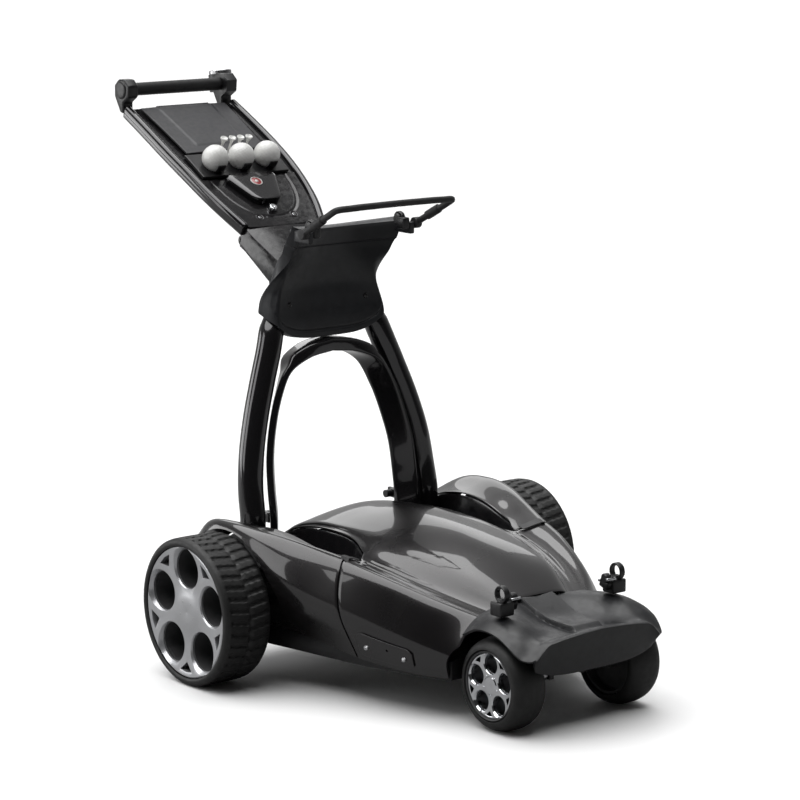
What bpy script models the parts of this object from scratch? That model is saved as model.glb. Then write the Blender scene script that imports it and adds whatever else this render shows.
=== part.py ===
"""Electric golf trolley: folding frame, two driven rear wheels and two free front wheels.

The trolley drives towards -Y. +X is its left side and +Z is up. The origin is on the ground
below the middle of the rear axle. All lengths are in metres.
"""

import math

import bmesh
import bpy
import numpy as np
from mathutils import Matrix, Vector

# ---- driving dimensions ---------------------------------------------------------------
GAP = 0.0005                    # clearance between touching pieces
SIDES = (("left", 1), ("right", -1))

REAR_WHEEL_R = 0.111
REAR_TYRE_IN, REAR_TYRE_OUT = 0.249, 0.338
REAR_RIM_R = 0.0985
FRONT_WHEEL_R = 0.0676
FRONT_AXLE_Y = -0.459
FRONT_TYRE_IN, FRONT_TYRE_OUT = 0.080, 0.138
FRONT_RIM_R = 0.0500
SPOKES = 5

SHELL = 0.0025                  # wall of the bodywork
SEAM = 0.0030                   # gap between bonnet and fender
SEAM_TOP_Y, SEAM_LOW_Y = -0.183, -0.243
BODY_REAR_Y, BODY_FRONT_Y = 0.110, -0.4025
RECESS_REAR_Y = 0.096
WELL_FLOOR_Z = 0.152
TRAY_FLOOR_Z, TRAY_RIM_Z = 0.060, 0.088

FOLD_Y, FOLD_Z = 0.062, 0.178   # frame hinge axis
HINGE_Y, HINGE_Z = 0.220, 0.617  # handle hinge axis, below the board
LOCK_Y, LOCK_Z = 0.092, 0.212   # fold lock buttons
BAIL_Y, BAIL_Z, BAIL_X = 0.008, 0.653, 0.104
BAIL_FRONT_Y, BAIL_FRONT_Z = -0.075, 0.696
BUTTON_Y = 0.231
LEG_R = 0.0195

MODULE = 0.0020                 # final drive gears
GEAR_TEETH, PINION_TEETH = 22, 11
GEAR_CENTRES = MODULE * (GEAR_TEETH + PINION_TEETH) / 2
GEAR_X, GEAR_WIDTH = 0.186, 0.010

BAG_REST_FRONT_Y = -0.5438

COLOURS = {
    "gloss_black": ((0.012, 0.011, 0.013), 0.12, 0.3),
    "satin_black": ((0.018, 0.018, 0.020), 0.45, 0.0),
    "matt_black": ((0.022, 0.023, 0.025), 0.65, 0.0),
    "grey_panel": ((0.040, 0.041, 0.045), 0.55, 0.0),
    "rubber": ((0.015, 0.015, 0.015), 0.80, 0.0),
    "silver": ((0.45, 0.46, 0.48), 0.30, 0.7),
    "chrome": ((0.72, 0.73, 0.75), 0.12, 1.0),
    "steel": ((0.42, 0.42, 0.43), 0.30, 1.0),
    "white": ((0.85, 0.85, 0.83), 0.35, 0.0),
}


# ---- scene helpers --------------------------------------------------------------------
def clear_scene():
    for thing in list(bpy.data.objects):
        bpy.data.objects.remove(thing, do_unlink=True)


def new_collection(name):
    group = bpy.data.collections.new(name)
    bpy.context.scene.collection.children.link(group)
    return group


def material(name):
    found = bpy.data.materials.get(name)
    if found:
        return found
    colour, roughness, metallic = COLOURS[name]
    made = bpy.data.materials.new(name)
    made.use_nodes = True
    shader = made.node_tree.nodes["Principled BSDF"]
    shader.inputs["Base Color"].default_value = (*colour, 1.0)
    shader.inputs["Roughness"].default_value = roughness
    shader.inputs["Metallic"].default_value = metallic
    return made


def add_node(name, bm, finish, pivot=None):
    """Close a bmesh off as the named sub-part; pivot is the empty of its joint."""
    mesh = bpy.data.meshes.new(name)
    bm.to_mesh(mesh)
    bm.free()
    mesh.materials.append(material(finish))
    mesh.shade_smooth()
    mesh.set_sharp_from_angle(angle=math.radians(35))
    thing = bpy.data.objects.new(name, mesh)
    PARTS.objects.link(thing)
    if pivot:
        thing.parent = pivot
        thing.matrix_parent_inverse = pivot.matrix_world.inverted()
    return thing


def joint_empty(name, place, parent=None):
    """An empty on a joint's axis, which carries the pieces that move about it."""
    empty = bpy.data.objects.new(name, None)
    empty.empty_display_size = 0.03
    PARTS.objects.link(empty)
    empty.location = place
    bpy.context.view_layer.update()
    if parent:
        empty.parent = parent
        empty.matrix_parent_inverse = parent.matrix_world.inverted()
    bpy.context.view_layer.update()
    return empty


def evaluated(thing):
    """The object's mesh with its modifiers applied, in world space."""
    bpy.context.view_layer.update()
    graph = bpy.context.evaluated_depsgraph_get()
    bm = bmesh.new()
    bm.from_mesh(bpy.data.meshes.new_from_object(thing.evaluated_get(graph), depsgraph=graph))
    bm.transform(thing.matrix_world)
    return bm


def boolean(bm, other, operation):
    """Cut other from bm, or join it on; both are closed bmeshes and both are used up."""
    blank = bpy.data.objects.new("blank", bpy.data.meshes.new("blank"))
    tool = bpy.data.objects.new("tool", bpy.data.meshes.new("tool"))
    for thing, shape in ((blank, bm), (tool, other)):
        shape.to_mesh(thing.data)
        shape.free()
        thing.hide_render = True
        thing.display_type = "WIRE"
        CUTTERS.objects.link(thing)
    modifier = blank.modifiers.new("cut", "BOOLEAN")
    modifier.object = tool
    modifier.operation = operation
    modifier.solver = "EXACT"
    result = evaluated(blank)
    bmesh.ops.remove_doubles(result, verts=result.verts, dist=1e-6)
    bmesh.ops.dissolve_degenerate(result, edges=result.edges, dist=1e-6)
    for thing in (blank, tool):
        bpy.data.objects.remove(thing, do_unlink=True)
    return result


def cut(bm, *tools):
    for tool in tools:
        bm = boolean(bm, tool, "DIFFERENCE")
    return bm


def join(bm, *others):
    for other in others:
        bm = boolean(bm, other, "UNION")
    return bm


# ---- shape helpers --------------------------------------------------------------------
def facing_out(bm):
    bm.normal_update()
    bmesh.ops.recalc_face_normals(bm, faces=bm.faces)
    return bm


def box(centre, size, tilt=0.0):
    """A box, turned about X by tilt."""
    bm = bmesh.new()
    bmesh.ops.create_cube(bm, size=1.0)
    place = Matrix.Translation(centre) @ Matrix.Rotation(tilt, 4, "X") @ Matrix.Diagonal((*size, 1.0))
    bm.transform(place)
    return facing_out(bm)


def rounded_box(centre, size, radius, tilt=0.0):
    bm = box((0, 0, 0), size)
    bmesh.ops.bevel(bm, geom=bm.edges[:], offset=radius, segments=2, affect="EDGES", profile=0.5)
    bm.transform(Matrix.Translation(centre) @ Matrix.Rotation(tilt, 4, "X"))
    return facing_out(bm)


def cylinder(start, end, radius, segments=24, end_radius=None):
    """A round bar, or a cone, from start to end."""
    start, end = Vector(start), Vector(end)
    bm = bmesh.new()
    bmesh.ops.create_cone(bm, cap_ends=True, segments=segments, radius1=radius,
                          radius2=end_radius or radius, depth=(end - start).length)
    turn = (end - start).to_track_quat("Z", "Y").to_matrix().to_4x4()
    bm.transform(Matrix.Translation((start + end) / 2) @ turn)
    return facing_out(bm)


def ball(centre, radius, segments=20):
    bm = bmesh.new()
    bmesh.ops.create_uvsphere(bm, u_segments=segments, v_segments=segments // 2, radius=radius)
    bm.transform(Matrix.Translation(centre))
    return facing_out(bm)


def turned(profile, centre, segments=24):
    """Turn a closed profile of (x, radius) points about the X axis through centre."""
    bm = bmesh.new()
    rings = []
    for step in range(segments):
        angle = 2 * math.pi * step / segments
        rings.append([bm.verts.new((x, r * math.cos(angle), r * math.sin(angle))) for x, r in profile])
    for near, far in zip(rings, rings[1:] + rings[:1]):
        for i in range(len(profile)):
            j = (i + 1) % len(profile)
            bm.faces.new((near[i], near[j], far[j], far[i]))
    bm.transform(Matrix.Translation(centre))
    return facing_out(bm)


def prism(outline, axis, start, end):
    """Extrude a closed outline along "x", "y" or "z"; its points are the other two axes in order."""
    bm = bmesh.new()
    spots = {"x": lambda a, b, t: (t, a, b), "y": lambda a, b, t: (a, t, b), "z": lambda a, b, t: (a, b, t)}
    low = [bm.verts.new(spots[axis](a, b, start)) for a, b in outline]
    high = [bm.verts.new(spots[axis](a, b, end)) for a, b in outline]
    bm.faces.new(low)
    bm.faces.new(high)
    for i in range(len(outline)):
        j = (i + 1) % len(outline)
        bm.faces.new((low[i], low[j], high[j], high[i]))
    return facing_out(bm)


def loft(sections):
    """Join closed sections of the same number of points, and cap both ends."""
    bm = bmesh.new()
    rings = [[bm.verts.new(point) for point in section] for section in sections]
    for near, far in zip(rings, rings[1:]):
        for i in range(len(near)):
            j = (i + 1) % len(near)
            bm.faces.new((near[i], near[j], far[j], far[i]))
    bm.faces.new(rings[0])
    bm.faces.new(rings[-1])
    return facing_out(bm)


def thick_sheet(rows, thickness, outward):
    """Solidify an open grid of points; outward is a direction that its front faces look along."""
    bm = bmesh.new()
    grid = [[bm.verts.new(point) for point in row] for row in rows]
    for low, high in zip(grid, grid[1:]):
        for i in range(len(low) - 1):
            bm.faces.new((low[i], low[i + 1], high[i + 1], high[i]))
    bm.normal_update()
    total = sum((face.normal * face.calc_area() for face in bm.faces), Vector())
    if total.dot(Vector(outward)) < 0:
        bmesh.ops.reverse_faces(bm, faces=bm.faces)
    sheet = bpy.data.objects.new("sheet", bpy.data.meshes.new("sheet"))
    bm.to_mesh(sheet.data)
    bm.free()
    sheet.hide_render = True
    sheet.display_type = "WIRE"
    CUTTERS.objects.link(sheet)
    solid = sheet.modifiers.new("wall", "SOLIDIFY")
    solid.thickness = thickness
    solid.offset = -1.0
    result = evaluated(sheet)
    bpy.data.objects.remove(sheet, do_unlink=True)
    return facing_out(result)


def through(stations, values, at):
    """Smooth curve through (station, value) pairs, read at one or more stations."""
    xs = np.array(stations, dtype=float)
    ys = np.array(values, dtype=float)
    if xs[0] > xs[-1]:
        xs, ys = xs[::-1], ys[::-1]
    slopes = np.gradient(ys, xs)
    at = np.clip(at, xs[0], xs[-1])
    i = np.clip(np.searchsorted(xs, at) - 1, 0, len(xs) - 2)
    width = xs[i + 1] - xs[i]
    t = (at - xs[i]) / width
    return ((2 * t**3 - 3 * t**2 + 1) * ys[i] + (t**3 - 2 * t**2 + t) * width * slopes[i]
            + (3 * t**2 - 2 * t**3) * ys[i + 1] + (t**3 - t**2) * width * slopes[i + 1])


def smooth_path(points, steps):
    """Points read evenly from a smooth curve through a few points."""
    points = np.array(points, dtype=float)
    lengths = np.concatenate(([0.0], np.cumsum(np.linalg.norm(np.diff(points, axis=0), axis=1))))
    along = np.linspace(0.0, lengths[-1], steps)
    return [Vector([through(lengths, points[:, k], a) for k in range(points.shape[1])]) for a in along]


def mirrored(point, side):
    return (point[0] * side, point[1], point[2])


def flipped(bm, side):
    """The left piece as it is, or its mirror image for the right."""
    if side < 0:
        bm.transform(Matrix.Diagonal((-1, 1, 1, 1)))
        bmesh.ops.reverse_faces(bm, faces=bm.faces)
    return bm


def swept(path, section, across=None):
    """Sweep a section of (across, up) offsets along a path; across fixes its first direction."""
    rings = []
    for i, place in enumerate(path):
        tangent = (path[min(i + 1, len(path) - 1)] - path[max(i - 1, 0)]).normalized()
        first = across[i] if across else tangent.orthogonal().normalized()
        first = (first - tangent * first.dot(tangent)).normalized()
        second = tangent.cross(first)
        offsets = section(i) if callable(section) else section
        rings.append([place + first * a + second * b for a, b in offsets])
    return loft(rings)


def round_section(radius, sides=12, depth=None):
    angles = [2 * math.pi * k / sides for k in range(sides)]
    return [(radius * math.cos(a), (depth or radius) * math.sin(a)) for a in angles]


# ---- bodywork -------------------------------------------------------------------------
# Lines that run from the back of the body to its front on the left half, as x and z in
# millimetres at each station of BODY_Y.
BODY_Y = (110, 60, 0, -60, -120, -183, -245, -300, -350, -400, -430)
BODY_LINES = (
    # crown
    ((0,) * 11, (172, 208, 232, 239, 240, 237, 228, 214, 194, 168, 150)),
    # shoulder of the central bulge
    ((84, 88, 90, 91, 90, 86, 82, 77, 67, 50, 40), (160, 196, 216, 222, 223, 221, 213, 202, 188, 165, 149)),
    # inner edge of the leg recess, then the valley
    ((104, 104, 108, 109, 113, 134, 126, 112, 93, 70, 56), (158, 190, 209, 215, 212, 199, 190, 179, 167, 152, 143)),
    # outer edge of the leg recess, then the far side of the valley
    ((192, 192, 190, 185, 176, 158, 150, 138, 118, 92, 76), (182, 207, 220, 219, 207, 199, 189, 177, 164, 149, 140)),
    # crest of the fender
    ((225, 246, 252, 243, 222, 203, 188, 168, 146, 115, 98), (196, 227, 235, 231, 222, 209, 195, 180, 164, 145, 136)),
    # widest line of the side
    ((262, 263, 262, 261, 252, 232, 212, 192, 172, 150, 140), (160, 185, 190, 186, 168, 150, 135, 122, 112, 102, 96)),
    # lower edge
    ((246, 246, 243, 236, 224, 212, 200, 182, 165, 142, 132), (118, 108, 100, 93, 89, 82, 72, 66, 64, 64, 64)),
)
LAST_LINE = len(BODY_LINES) - 1
SHOULDER, RECESS_IN, RECESS_OUT, LOWER_EDGE = 1, 2, 3, LAST_LINE


def body_line(index, y):
    xs, zs = BODY_LINES[index]
    return through(BODY_Y, xs, y * 1000) / 1000, through(BODY_Y, zs, y * 1000) / 1000


def body_point(across, y):
    """A point of the body's surface: across is 0 on the crown and 6 on the lower edge."""
    side = 1 if across >= 0 else -1
    lines = [body_line(k, y) for k in range(len(BODY_LINES))]
    ring = [(-lines[1][0], lines[1][1])] + lines
    indices = range(-1, len(lines))
    x = through(indices, [p[0] for p in ring], abs(across))
    z = through(indices, [p[1] for p in ring], abs(across))
    return Vector((side * float(x), y, float(z)))


def seam_y(across):
    """The bonnet's joint with the fender runs out and back from the tip of the leg recess."""
    share = max(0.0, (abs(across) - RECESS_OUT) / (LOWER_EDGE - RECESS_OUT))
    return SEAM_TOP_Y + (SEAM_LOW_Y - SEAM_TOP_Y) * share


def wheel_clearance(side):
    return cylinder((0.2445 * side, 0, REAR_WHEEL_R), (0.36 * side, 0, REAR_WHEEL_R), REAR_WHEEL_R + 0.0035, 32)


def front_arch(side):
    return cylinder((0.074 * side, FRONT_AXLE_Y, FRONT_WHEEL_R), (0.17 * side, FRONT_AXLE_Y, FRONT_WHEEL_R),
                    FRONT_WHEEL_R + 0.006, 28)


def make_fenders():
    columns = np.linspace(RECESS_OUT, LOWER_EDGE, 9)
    for label, side in SIDES:
        rows = []
        for share in np.linspace(0, 1, 10):
            rows.append([body_point(c * side, BODY_REAR_Y + (seam_y(c) + SEAM / 2 - BODY_REAR_Y) * share)
                         for c in columns])
        shell = thick_sheet(rows, SHELL, (side, 0, 1))
        shaft_hole = cylinder((0.20 * side, 0, REAR_WHEEL_R), (0.27 * side, 0, REAR_WHEEL_R), 0.0100, 16)
        add_node(f"fender_{label}", cut(shell, wheel_clearance(side), shaft_hole), "gloss_black")


def make_bonnet():
    """One moulding: the bulge between the leg recesses, and the nose from the seams forward."""
    bm = bmesh.new()
    across = np.linspace(-LOWER_EDGE, LOWER_EDGE, 25).round(4)
    rear_strip = (BODY_REAR_Y - RECESS_REAR_Y) / (BODY_REAR_Y - SEAM_TOP_Y + SEAM / 2)
    shares_back = [0.0, *np.linspace(rear_strip, 1, 8)]
    shares_front = np.linspace(0, 1, 7)[1:]
    spots = {}

    def vertex(i, c):
        if (i, c) not in spots:
            joint = seam_y(c) - SEAM / 2
            if i < len(shares_back):
                y = BODY_REAR_Y + (joint - BODY_REAR_Y) * shares_back[i]
            else:
                y = joint + (BODY_FRONT_Y - joint) * shares_front[i - len(shares_back)]
            point = body_point(c, y)
            if abs(c) == RECESS_OUT and i < 2:
                point.x -= math.copysign(SEAM, c)
            spots[i, c] = bm.verts.new(point)
        return spots[i, c]

    for i in range(len(shares_back) + len(shares_front) - 1):
        for near, far in zip(across, across[1:]):
            middle = abs(near + far) / 2
            behind_seam = i < len(shares_back) - 1
            if behind_seam and middle > (RECESS_OUT if i == 0 else RECESS_IN):
                continue
            bm.faces.new((vertex(i, near), vertex(i, far), vertex(i + 1, far), vertex(i + 1, near)))
    bm.normal_update()
    if sum(face.normal.z for face in bm.faces) < 0:
        bmesh.ops.reverse_faces(bm, faces=bm.faces)
    sheet = bpy.data.objects.new("sheet", bpy.data.meshes.new("sheet"))
    bm.to_mesh(sheet.data)
    bm.free()
    CUTTERS.objects.link(sheet)
    wall = sheet.modifiers.new("wall", "SOLIDIFY")
    wall.thickness = SHELL
    wall.offset = -1.0
    shell = evaluated(sheet)
    bpy.data.objects.remove(sheet, do_unlink=True)
    add_node("bonnet", cut(shell, front_arch(1), front_arch(-1)), "gloss_black")


def frame_axle(radius):
    """The cross rod that both legs turn on."""
    return cylinder((-0.196, FOLD_Y, FOLD_Z), (0.196, FOLD_Y, FOLD_Z), radius, 16)


def make_hinge_wells():
    """Open channels under the leg recesses, which hold the legs' hinges."""
    for label, side in SIDES:
        rows = []
        for y in np.linspace(RECESS_REAR_Y, SEAM_TOP_Y + 0.006, 13):
            inner_x, inner_z = body_line(RECESS_IN, y)
            outer_x, outer_z = body_line(RECESS_OUT, y)
            low = WELL_FLOOR_Z + 0.012 * max(0.0, -y / 0.18)
            rows.append([(x * side, y, z) for x, z in (
                (inner_x + 0.0015, inner_z - 0.006), (inner_x + 0.0025, (inner_z + low) / 2),
                (inner_x + 0.006, low), ((inner_x + outer_x) / 2, low), (outer_x - 0.006, low),
                (outer_x - 0.0025, (outer_z + low) / 2), (outer_x - 0.0015, outer_z - 0.006))])
        well = cut(thick_sheet(rows, 0.0015, (0, 0, 1)), frame_axle(0.0052))
        add_node(f"hinge_well_{label}", well, "satin_black")


def make_tray():
    """The bottom pan: a flat floor with a rim that follows the body's lower edge."""
    stations = np.linspace(0.104, -0.385, 12)

    def outline(inset):
        half = [(min(body_line(LOWER_EDGE, y)[0], 0.240) - 0.006 - inset, y) for y in stations]
        half[0] = (half[0][0], half[0][1] - inset)
        half[-1] = (half[-1][0], half[-1][1] + inset)
        return half + [(-x, y) for x, y in reversed(half)]

    pan = prism(outline(0), "z", TRAY_FLOOR_Z, TRAY_RIM_Z)
    pan = cut(pan, prism(outline(0.003), "z", TRAY_FLOOR_Z + 0.004, TRAY_RIM_Z + 0.01))
    fork = [box((0.030 * s, -0.425, 0.075), (0.008, 0.094, 0.028)) for s in (1, -1)]
    pan = join(pan, *fork, box((0, -0.376, 0.070), (0.070, 0.014, 0.016)))
    axle_hole = cylinder((-0.06, FRONT_AXLE_Y, FRONT_WHEEL_R), (0.06, FRONT_AXLE_Y, FRONT_WHEEL_R), 0.0064, 20)
    add_node("chassis_tray", cut(pan, axle_hole), "satin_black")


def make_rear_panel_and_door():
    """The upright back wall, and the battery door that hangs from its top edge."""
    half = [(0.236, 0.092), (0.240, 0.126), (0.222, 0.176), (0.190, 0.176), (0.104, 0.150), (0.060, 0.160),
            (0, 0.164)]
    outline = half + [(-x, z) for x, z in reversed(half[:-1])]
    panel = prism(outline, "y", 0.1045, 0.1085)
    opening = box((0, 0.1065, 0.121), (0.200, 0.02, 0.056))
    add_node("rear_panel", cut(panel, opening), "satin_black")
    door = join(rounded_box((0, 0.1125, 0.121), (0.212, 0.007, 0.064), 0.002),
                box((0, 0.1125, 0.1535), (0.110, 0.003, 0.008)),
                cylinder((-0.060, 0.1125, 0.1572), (0.060, 0.1125, 0.1572), 0.0035, 12))
    add_node("battery_door", door, "satin_black", DOOR)


def make_side_covers():
    """Thin plates low on the nose."""
    for label, side in SIDES:
        rows = []
        for share in np.linspace(0, 1, 6):
            y = -0.252 - 0.088 * share
            rows.append([body_point(c * side, y) for c in np.linspace(5.28, 5.86, 4)])
        lifted = [[p + Vector((side * 0.0030, 0, -0.0003)) for p in row] for row in rows]
        plate = thick_sheet(lifted, 0.002, (side, 0, 0))
        add_node(f"side_cover_{label}", plate, "gloss_black")


# ---- drive ----------------------------------------------------------------------------
def gear(teeth, phase, x_start, x_end, centre):
    """A spur gear about X; phase is the angle of one tooth's middle."""
    pitch = MODULE * teeth / 2
    root, tip = pitch - 1.25 * MODULE, pitch + 0.9 * MODULE
    step = 2 * math.pi / teeth
    outline = []
    for k in range(teeth):
        middle = phase + k * step
        for offset, radius in ((-0.30, root), (-0.13, tip), (0.13, tip), (0.30, root)):
            angle = middle + offset * step
            outline.append((centre[1] + radius * math.cos(angle), centre[2] + radius * math.sin(angle)))
    return prism(outline, "x", x_start, x_end)


def make_drive():
    """On each side a motor turns a pinion, and the pinion turns the gear on the wheel's shaft."""
    wheel_y, wheel_z = 0.0, REAR_WHEEL_R
    pinion_y = wheel_y - GEAR_CENTRES
    for label, side in SIDES:
        wheel, pinion = REAR_WHEELS[label], PINIONS[label]
        start, end = GEAR_X, GEAR_X + GEAR_WIDTH
        shaft = join(cylinder((0.160, wheel_y, wheel_z), (0.318, wheel_y, wheel_z), 0.0075, 14),
                     gear(GEAR_TEETH, 0.0, start, end, (0, wheel_y, wheel_z)))
        add_node(f"wheel_shaft_{label}", flipped(shaft, side), "steel", wheel)
        # a gap of the pinion faces the gear's tooth, which points at -Y
        phase = math.pi / PINION_TEETH
        small = join(gear(PINION_TEETH, phase, start, end, (0, pinion_y, wheel_z)),
                     cylinder((0.166, pinion_y, wheel_z), (end + 0.004, pinion_y, wheel_z), 0.0030, 14))
        add_node(f"motor_pinion_{label}", flipped(small, side), "steel", pinion)
        motor = join(cylinder((0.070, pinion_y, wheel_z), (0.158, pinion_y, wheel_z), 0.0200, 24),
                     cylinder((0.158 - 0.001, pinion_y, wheel_z), (0.1652, pinion_y, wheel_z), 0.0080, 16))
        add_node(f"motor_{label}", flipped(motor, side), "satin_black")
        case = rounded_box((0.190, pinion_y / 2 + 0.001, wheel_z), (0.036, 0.094, 0.062), 0.004)
        inside = box((0.190, pinion_y / 2 + 0.001, wheel_z), (0.028, 0.086, 0.0560))
        ports = [cylinder((0.190, wheel_y, wheel_z), (0.24, wheel_y, wheel_z), 0.0081, 20),
                 cylinder((0.150, wheel_y, wheel_z), (0.19, wheel_y, wheel_z), 0.0081, 20),
                 cylinder((0.150, pinion_y, wheel_z), (0.19, pinion_y, wheel_z), 0.0088, 16)]
        add_node(f"gearbox_{label}", flipped(cut(case, inside, *ports), side), "grey_panel")
    add_node("battery_pack", rounded_box((0, 0.045, 0.103), (0.128, 0.100, 0.070), 0.004), "grey_panel")
    control = join(rounded_box((0, -0.160, 0.086), (0.150, 0.110, 0.040), 0.004),
                   *[box((x, -0.160, 0.107), (0.003, 0.100, 0.012)) for x in np.linspace(-0.06, 0.06, 7)])
    add_node("control_unit", control, "grey_panel")


# ---- wheels ---------------------------------------------------------------------------
def spoked_disc(start, end, radius, hole_r, hole_pitch, bore, centre):
    """A wheel face with round holes, and a small three-cornered gap between each two at the rim."""
    disc = cylinder((start, *centre), (end, *centre), radius, 30)
    tools = []
    if bore:
        tools.append(cylinder((start - 0.01, *centre), (end + 0.01, *centre), bore, 20))
    for k in range(SPOKES):
        angle = math.radians(90) + 2 * math.pi * k / SPOKES
        y, z = centre[0] + hole_pitch * math.cos(angle), centre[1] + hole_pitch * math.sin(angle)
        tools.append(cylinder((start - 0.01, y, z), (end + 0.01, y, z), hole_r, 10))
        middle = angle + math.pi / SPOKES
        corners = []
        for reach, swing in ((0.93, -0.17), (0.93, 0.17), (0.76, 0.0)):
            corners.append((centre[0] + radius * reach * math.cos(middle + swing),
                            centre[1] + radius * reach * math.sin(middle + swing)))
        tools.append(prism(corners, "x", start - 0.01, end + 0.01))
    return cut(disc, *tools)


def make_rear_wheels():
    hub = (0.0, REAR_WHEEL_R)
    for label, side in SIDES:
        wheel = REAR_WHEELS[label]
        inner, outer, r = REAR_TYRE_IN, REAR_TYRE_OUT, REAR_WHEEL_R
        tyre = turned([(inner, r - 0.026), (inner + 0.002, r - 0.012), (inner + 0.010, r - 0.003),
                       (inner + 0.020, r), (outer - 0.007, r), (outer - 0.001, r - 0.005), (outer, r - 0.011),
                       (outer - 0.001, REAR_RIM_R + GAP), (inner + 0.006, REAR_RIM_R + GAP),
                       (inner + 0.004, r - 0.026)], (0, *hub), 32)
        add_node(f"rear_tyre_{label}", flipped(tyre, side), "rubber", wheel)
        barrel = turned([(inner + 0.008, REAR_RIM_R), (outer - 0.017, REAR_RIM_R),
                         (outer - 0.017, REAR_RIM_R - 0.005), (inner + 0.008, REAR_RIM_R - 0.006)], (0, *hub), 32)
        web = cylinder((inner + 0.020, *hub), (inner + 0.026, *hub), REAR_RIM_R - 0.004, 32)
        boss = cylinder((inner + 0.018, *hub), (inner + 0.046, *hub), 0.017, 16)
        bore = cylinder((inner, *hub), (outer, *hub), 0.0079, 14)
        rim = cut(join(barrel, web, boss), bore)
        add_node(f"rear_rim_{label}", flipped(rim, side), "silver", wheel)
        cap = spoked_disc(outer - 0.016, outer - 0.006, REAR_RIM_R - 0.0005, 0.0300, 0.0655, None, hub)
        nave = cylinder((0.3205, *hub), (outer - 0.008, *hub), 0.026, 24)
        add_node(f"rear_hubcap_{label}", flipped(join(cap, nave), side), "silver", wheel)


def make_front_wheels():
    hub = (FRONT_AXLE_Y, FRONT_WHEEL_R)
    inner, outer, r = FRONT_TYRE_IN, FRONT_TYRE_OUT, FRONT_WHEEL_R
    middle, half = (inner + outer) / 2, (outer - inner) / 2
    crown_drop = r - FRONT_RIM_R
    profile = [(outer - 0.004, FRONT_RIM_R + GAP)]
    for k in range(9):
        angle = math.pi * k / 8
        profile.append((middle + half * math.cos(angle), FRONT_RIM_R + 0.002 + (crown_drop - 0.002) * math.sin(angle)))
    profile.append((inner + 0.004, FRONT_RIM_R + GAP))
    for label, side in SIDES:
        wheel = FRONT_WHEELS[label]
        add_node(f"front_tyre_{label}", flipped(turned(profile, (0, *hub)), side), "rubber", wheel)
        barrel = turned([(inner + 0.004, FRONT_RIM_R), (outer - 0.002, FRONT_RIM_R),
                         (outer - 0.002, FRONT_RIM_R - 0.003), (inner + 0.040, FRONT_RIM_R - 0.004),
                         (inner + 0.004, FRONT_RIM_R - 0.004)], (0, *hub))
        face = spoked_disc(outer - 0.013, outer - 0.005, FRONT_RIM_R - 0.0028, 0.0143, 0.0312, None, hub)
        boss = cylinder((inner + 0.004, *hub), (outer - 0.008, *hub), 0.0125, 20)
        web = cylinder((inner + 0.018, *hub), (inner + 0.022, *hub), FRONT_RIM_R - 0.002, 24)
        bore = cylinder((inner - 0.01, *hub), (outer - 0.011, *hub), 0.0064, 20)
        add_node(f"front_wheel_{label}", flipped(cut(join(barrel, face, boss, web), bore), side), "chrome", wheel)
    axle = join(cylinder((-0.124, *hub), (0.124, *hub), 0.0060, 14),
                *[cylinder((0.0345 * s, *hub), (0.0790 * s, *hub), 0.0100, 14) for s in (1, -1)])
    add_node("front_axle", axle, "steel")


# ---- front bag rest -------------------------------------------------------------------
# Heights of the rest in millimetres, from the middle out to the edge over the front wheel.
REST_X = (0, 35, 70, 100, 122, 139)
REST_Y = (-404, -430, -457, -485, -512, -541)
REST_Z = (
    (157, 160, 161, 157, 146, 131),
    (149, 151, 160, 161, 154, 144),
    (140, 143, 155, 161, 156, 147),
    (137, 140, 147, 154, 151, 142),
    (140, 139, 139, 141, 139, 130),
    (147, 145, 141, 135, 129, 122),
)


def rest_height(x, y):
    columns = [float(through(REST_X, row, abs(x) * 1000)) for row in REST_Z]
    return float(through(REST_Y, columns, y * 1000)) / 1000


def make_bag_rest():
    """A saddle over both front wheels with a raised lip, and a face that drops from the lip."""
    columns = np.linspace(-0.139, 0.139, 13)
    rows = [[(x, y, rest_height(x, y)) for x in columns] for y in np.linspace(-0.404, -0.535, 7)]
    for share in (0.0, 0.4, 1.0):
        row = []
        for x in columns:
            low_z = 0.086 + 0.022 * (abs(x) / 0.139) ** 3
            y = BAG_REST_FRONT_Y + 0.012 * share + 0.006 * (abs(x) / 0.139) ** 2
            row.append((x, y, rest_height(x, -0.541) * (1 - share) + low_z * share - 0.002 * (share == 0)))
        rows.append(row)
    shell = thick_sheet(rows, 0.0035, (0, -0.3, 1))
    shell = cut(shell, front_arch(1), front_arch(-1))
    brackets = [box((0.034 * s, -0.486, 0.109), (0.008, 0.020, 0.058)) for s in (1, -1)]
    pad = box((0, -0.470, 0.1390), (0.054, 0.070, 0.010), math.radians(-6))
    add_node("bag_rest", join(shell, *brackets, pad), "matt_black")


def make_lower_clips():
    """Blocks on the rest's shoulders with a ring each, for the bag's lower strap."""
    for label, side in SIDES:
        base_z = rest_height(0.109, -0.457) + 0.0006
        block = box((0.106, -0.452, base_z + 0.0135), (0.026, 0.024, 0.020))
        post = box((0.108, -0.454, base_z + 0.022), (0.008, 0.010, 0.012))
        ring = turned([(0.104, 0.0125), (0.113, 0.0125), (0.113, 0.0090), (0.104, 0.0090)],
                      (0, -0.455, base_z + 0.0345), 16)
        cam = box((0.090, -0.452, base_z + 0.0175), (0.012, 0.018, 0.012))
        add_node(f"lower_clip_{label}", flipped(join(block, post, ring, cam), side), "satin_black")


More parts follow.
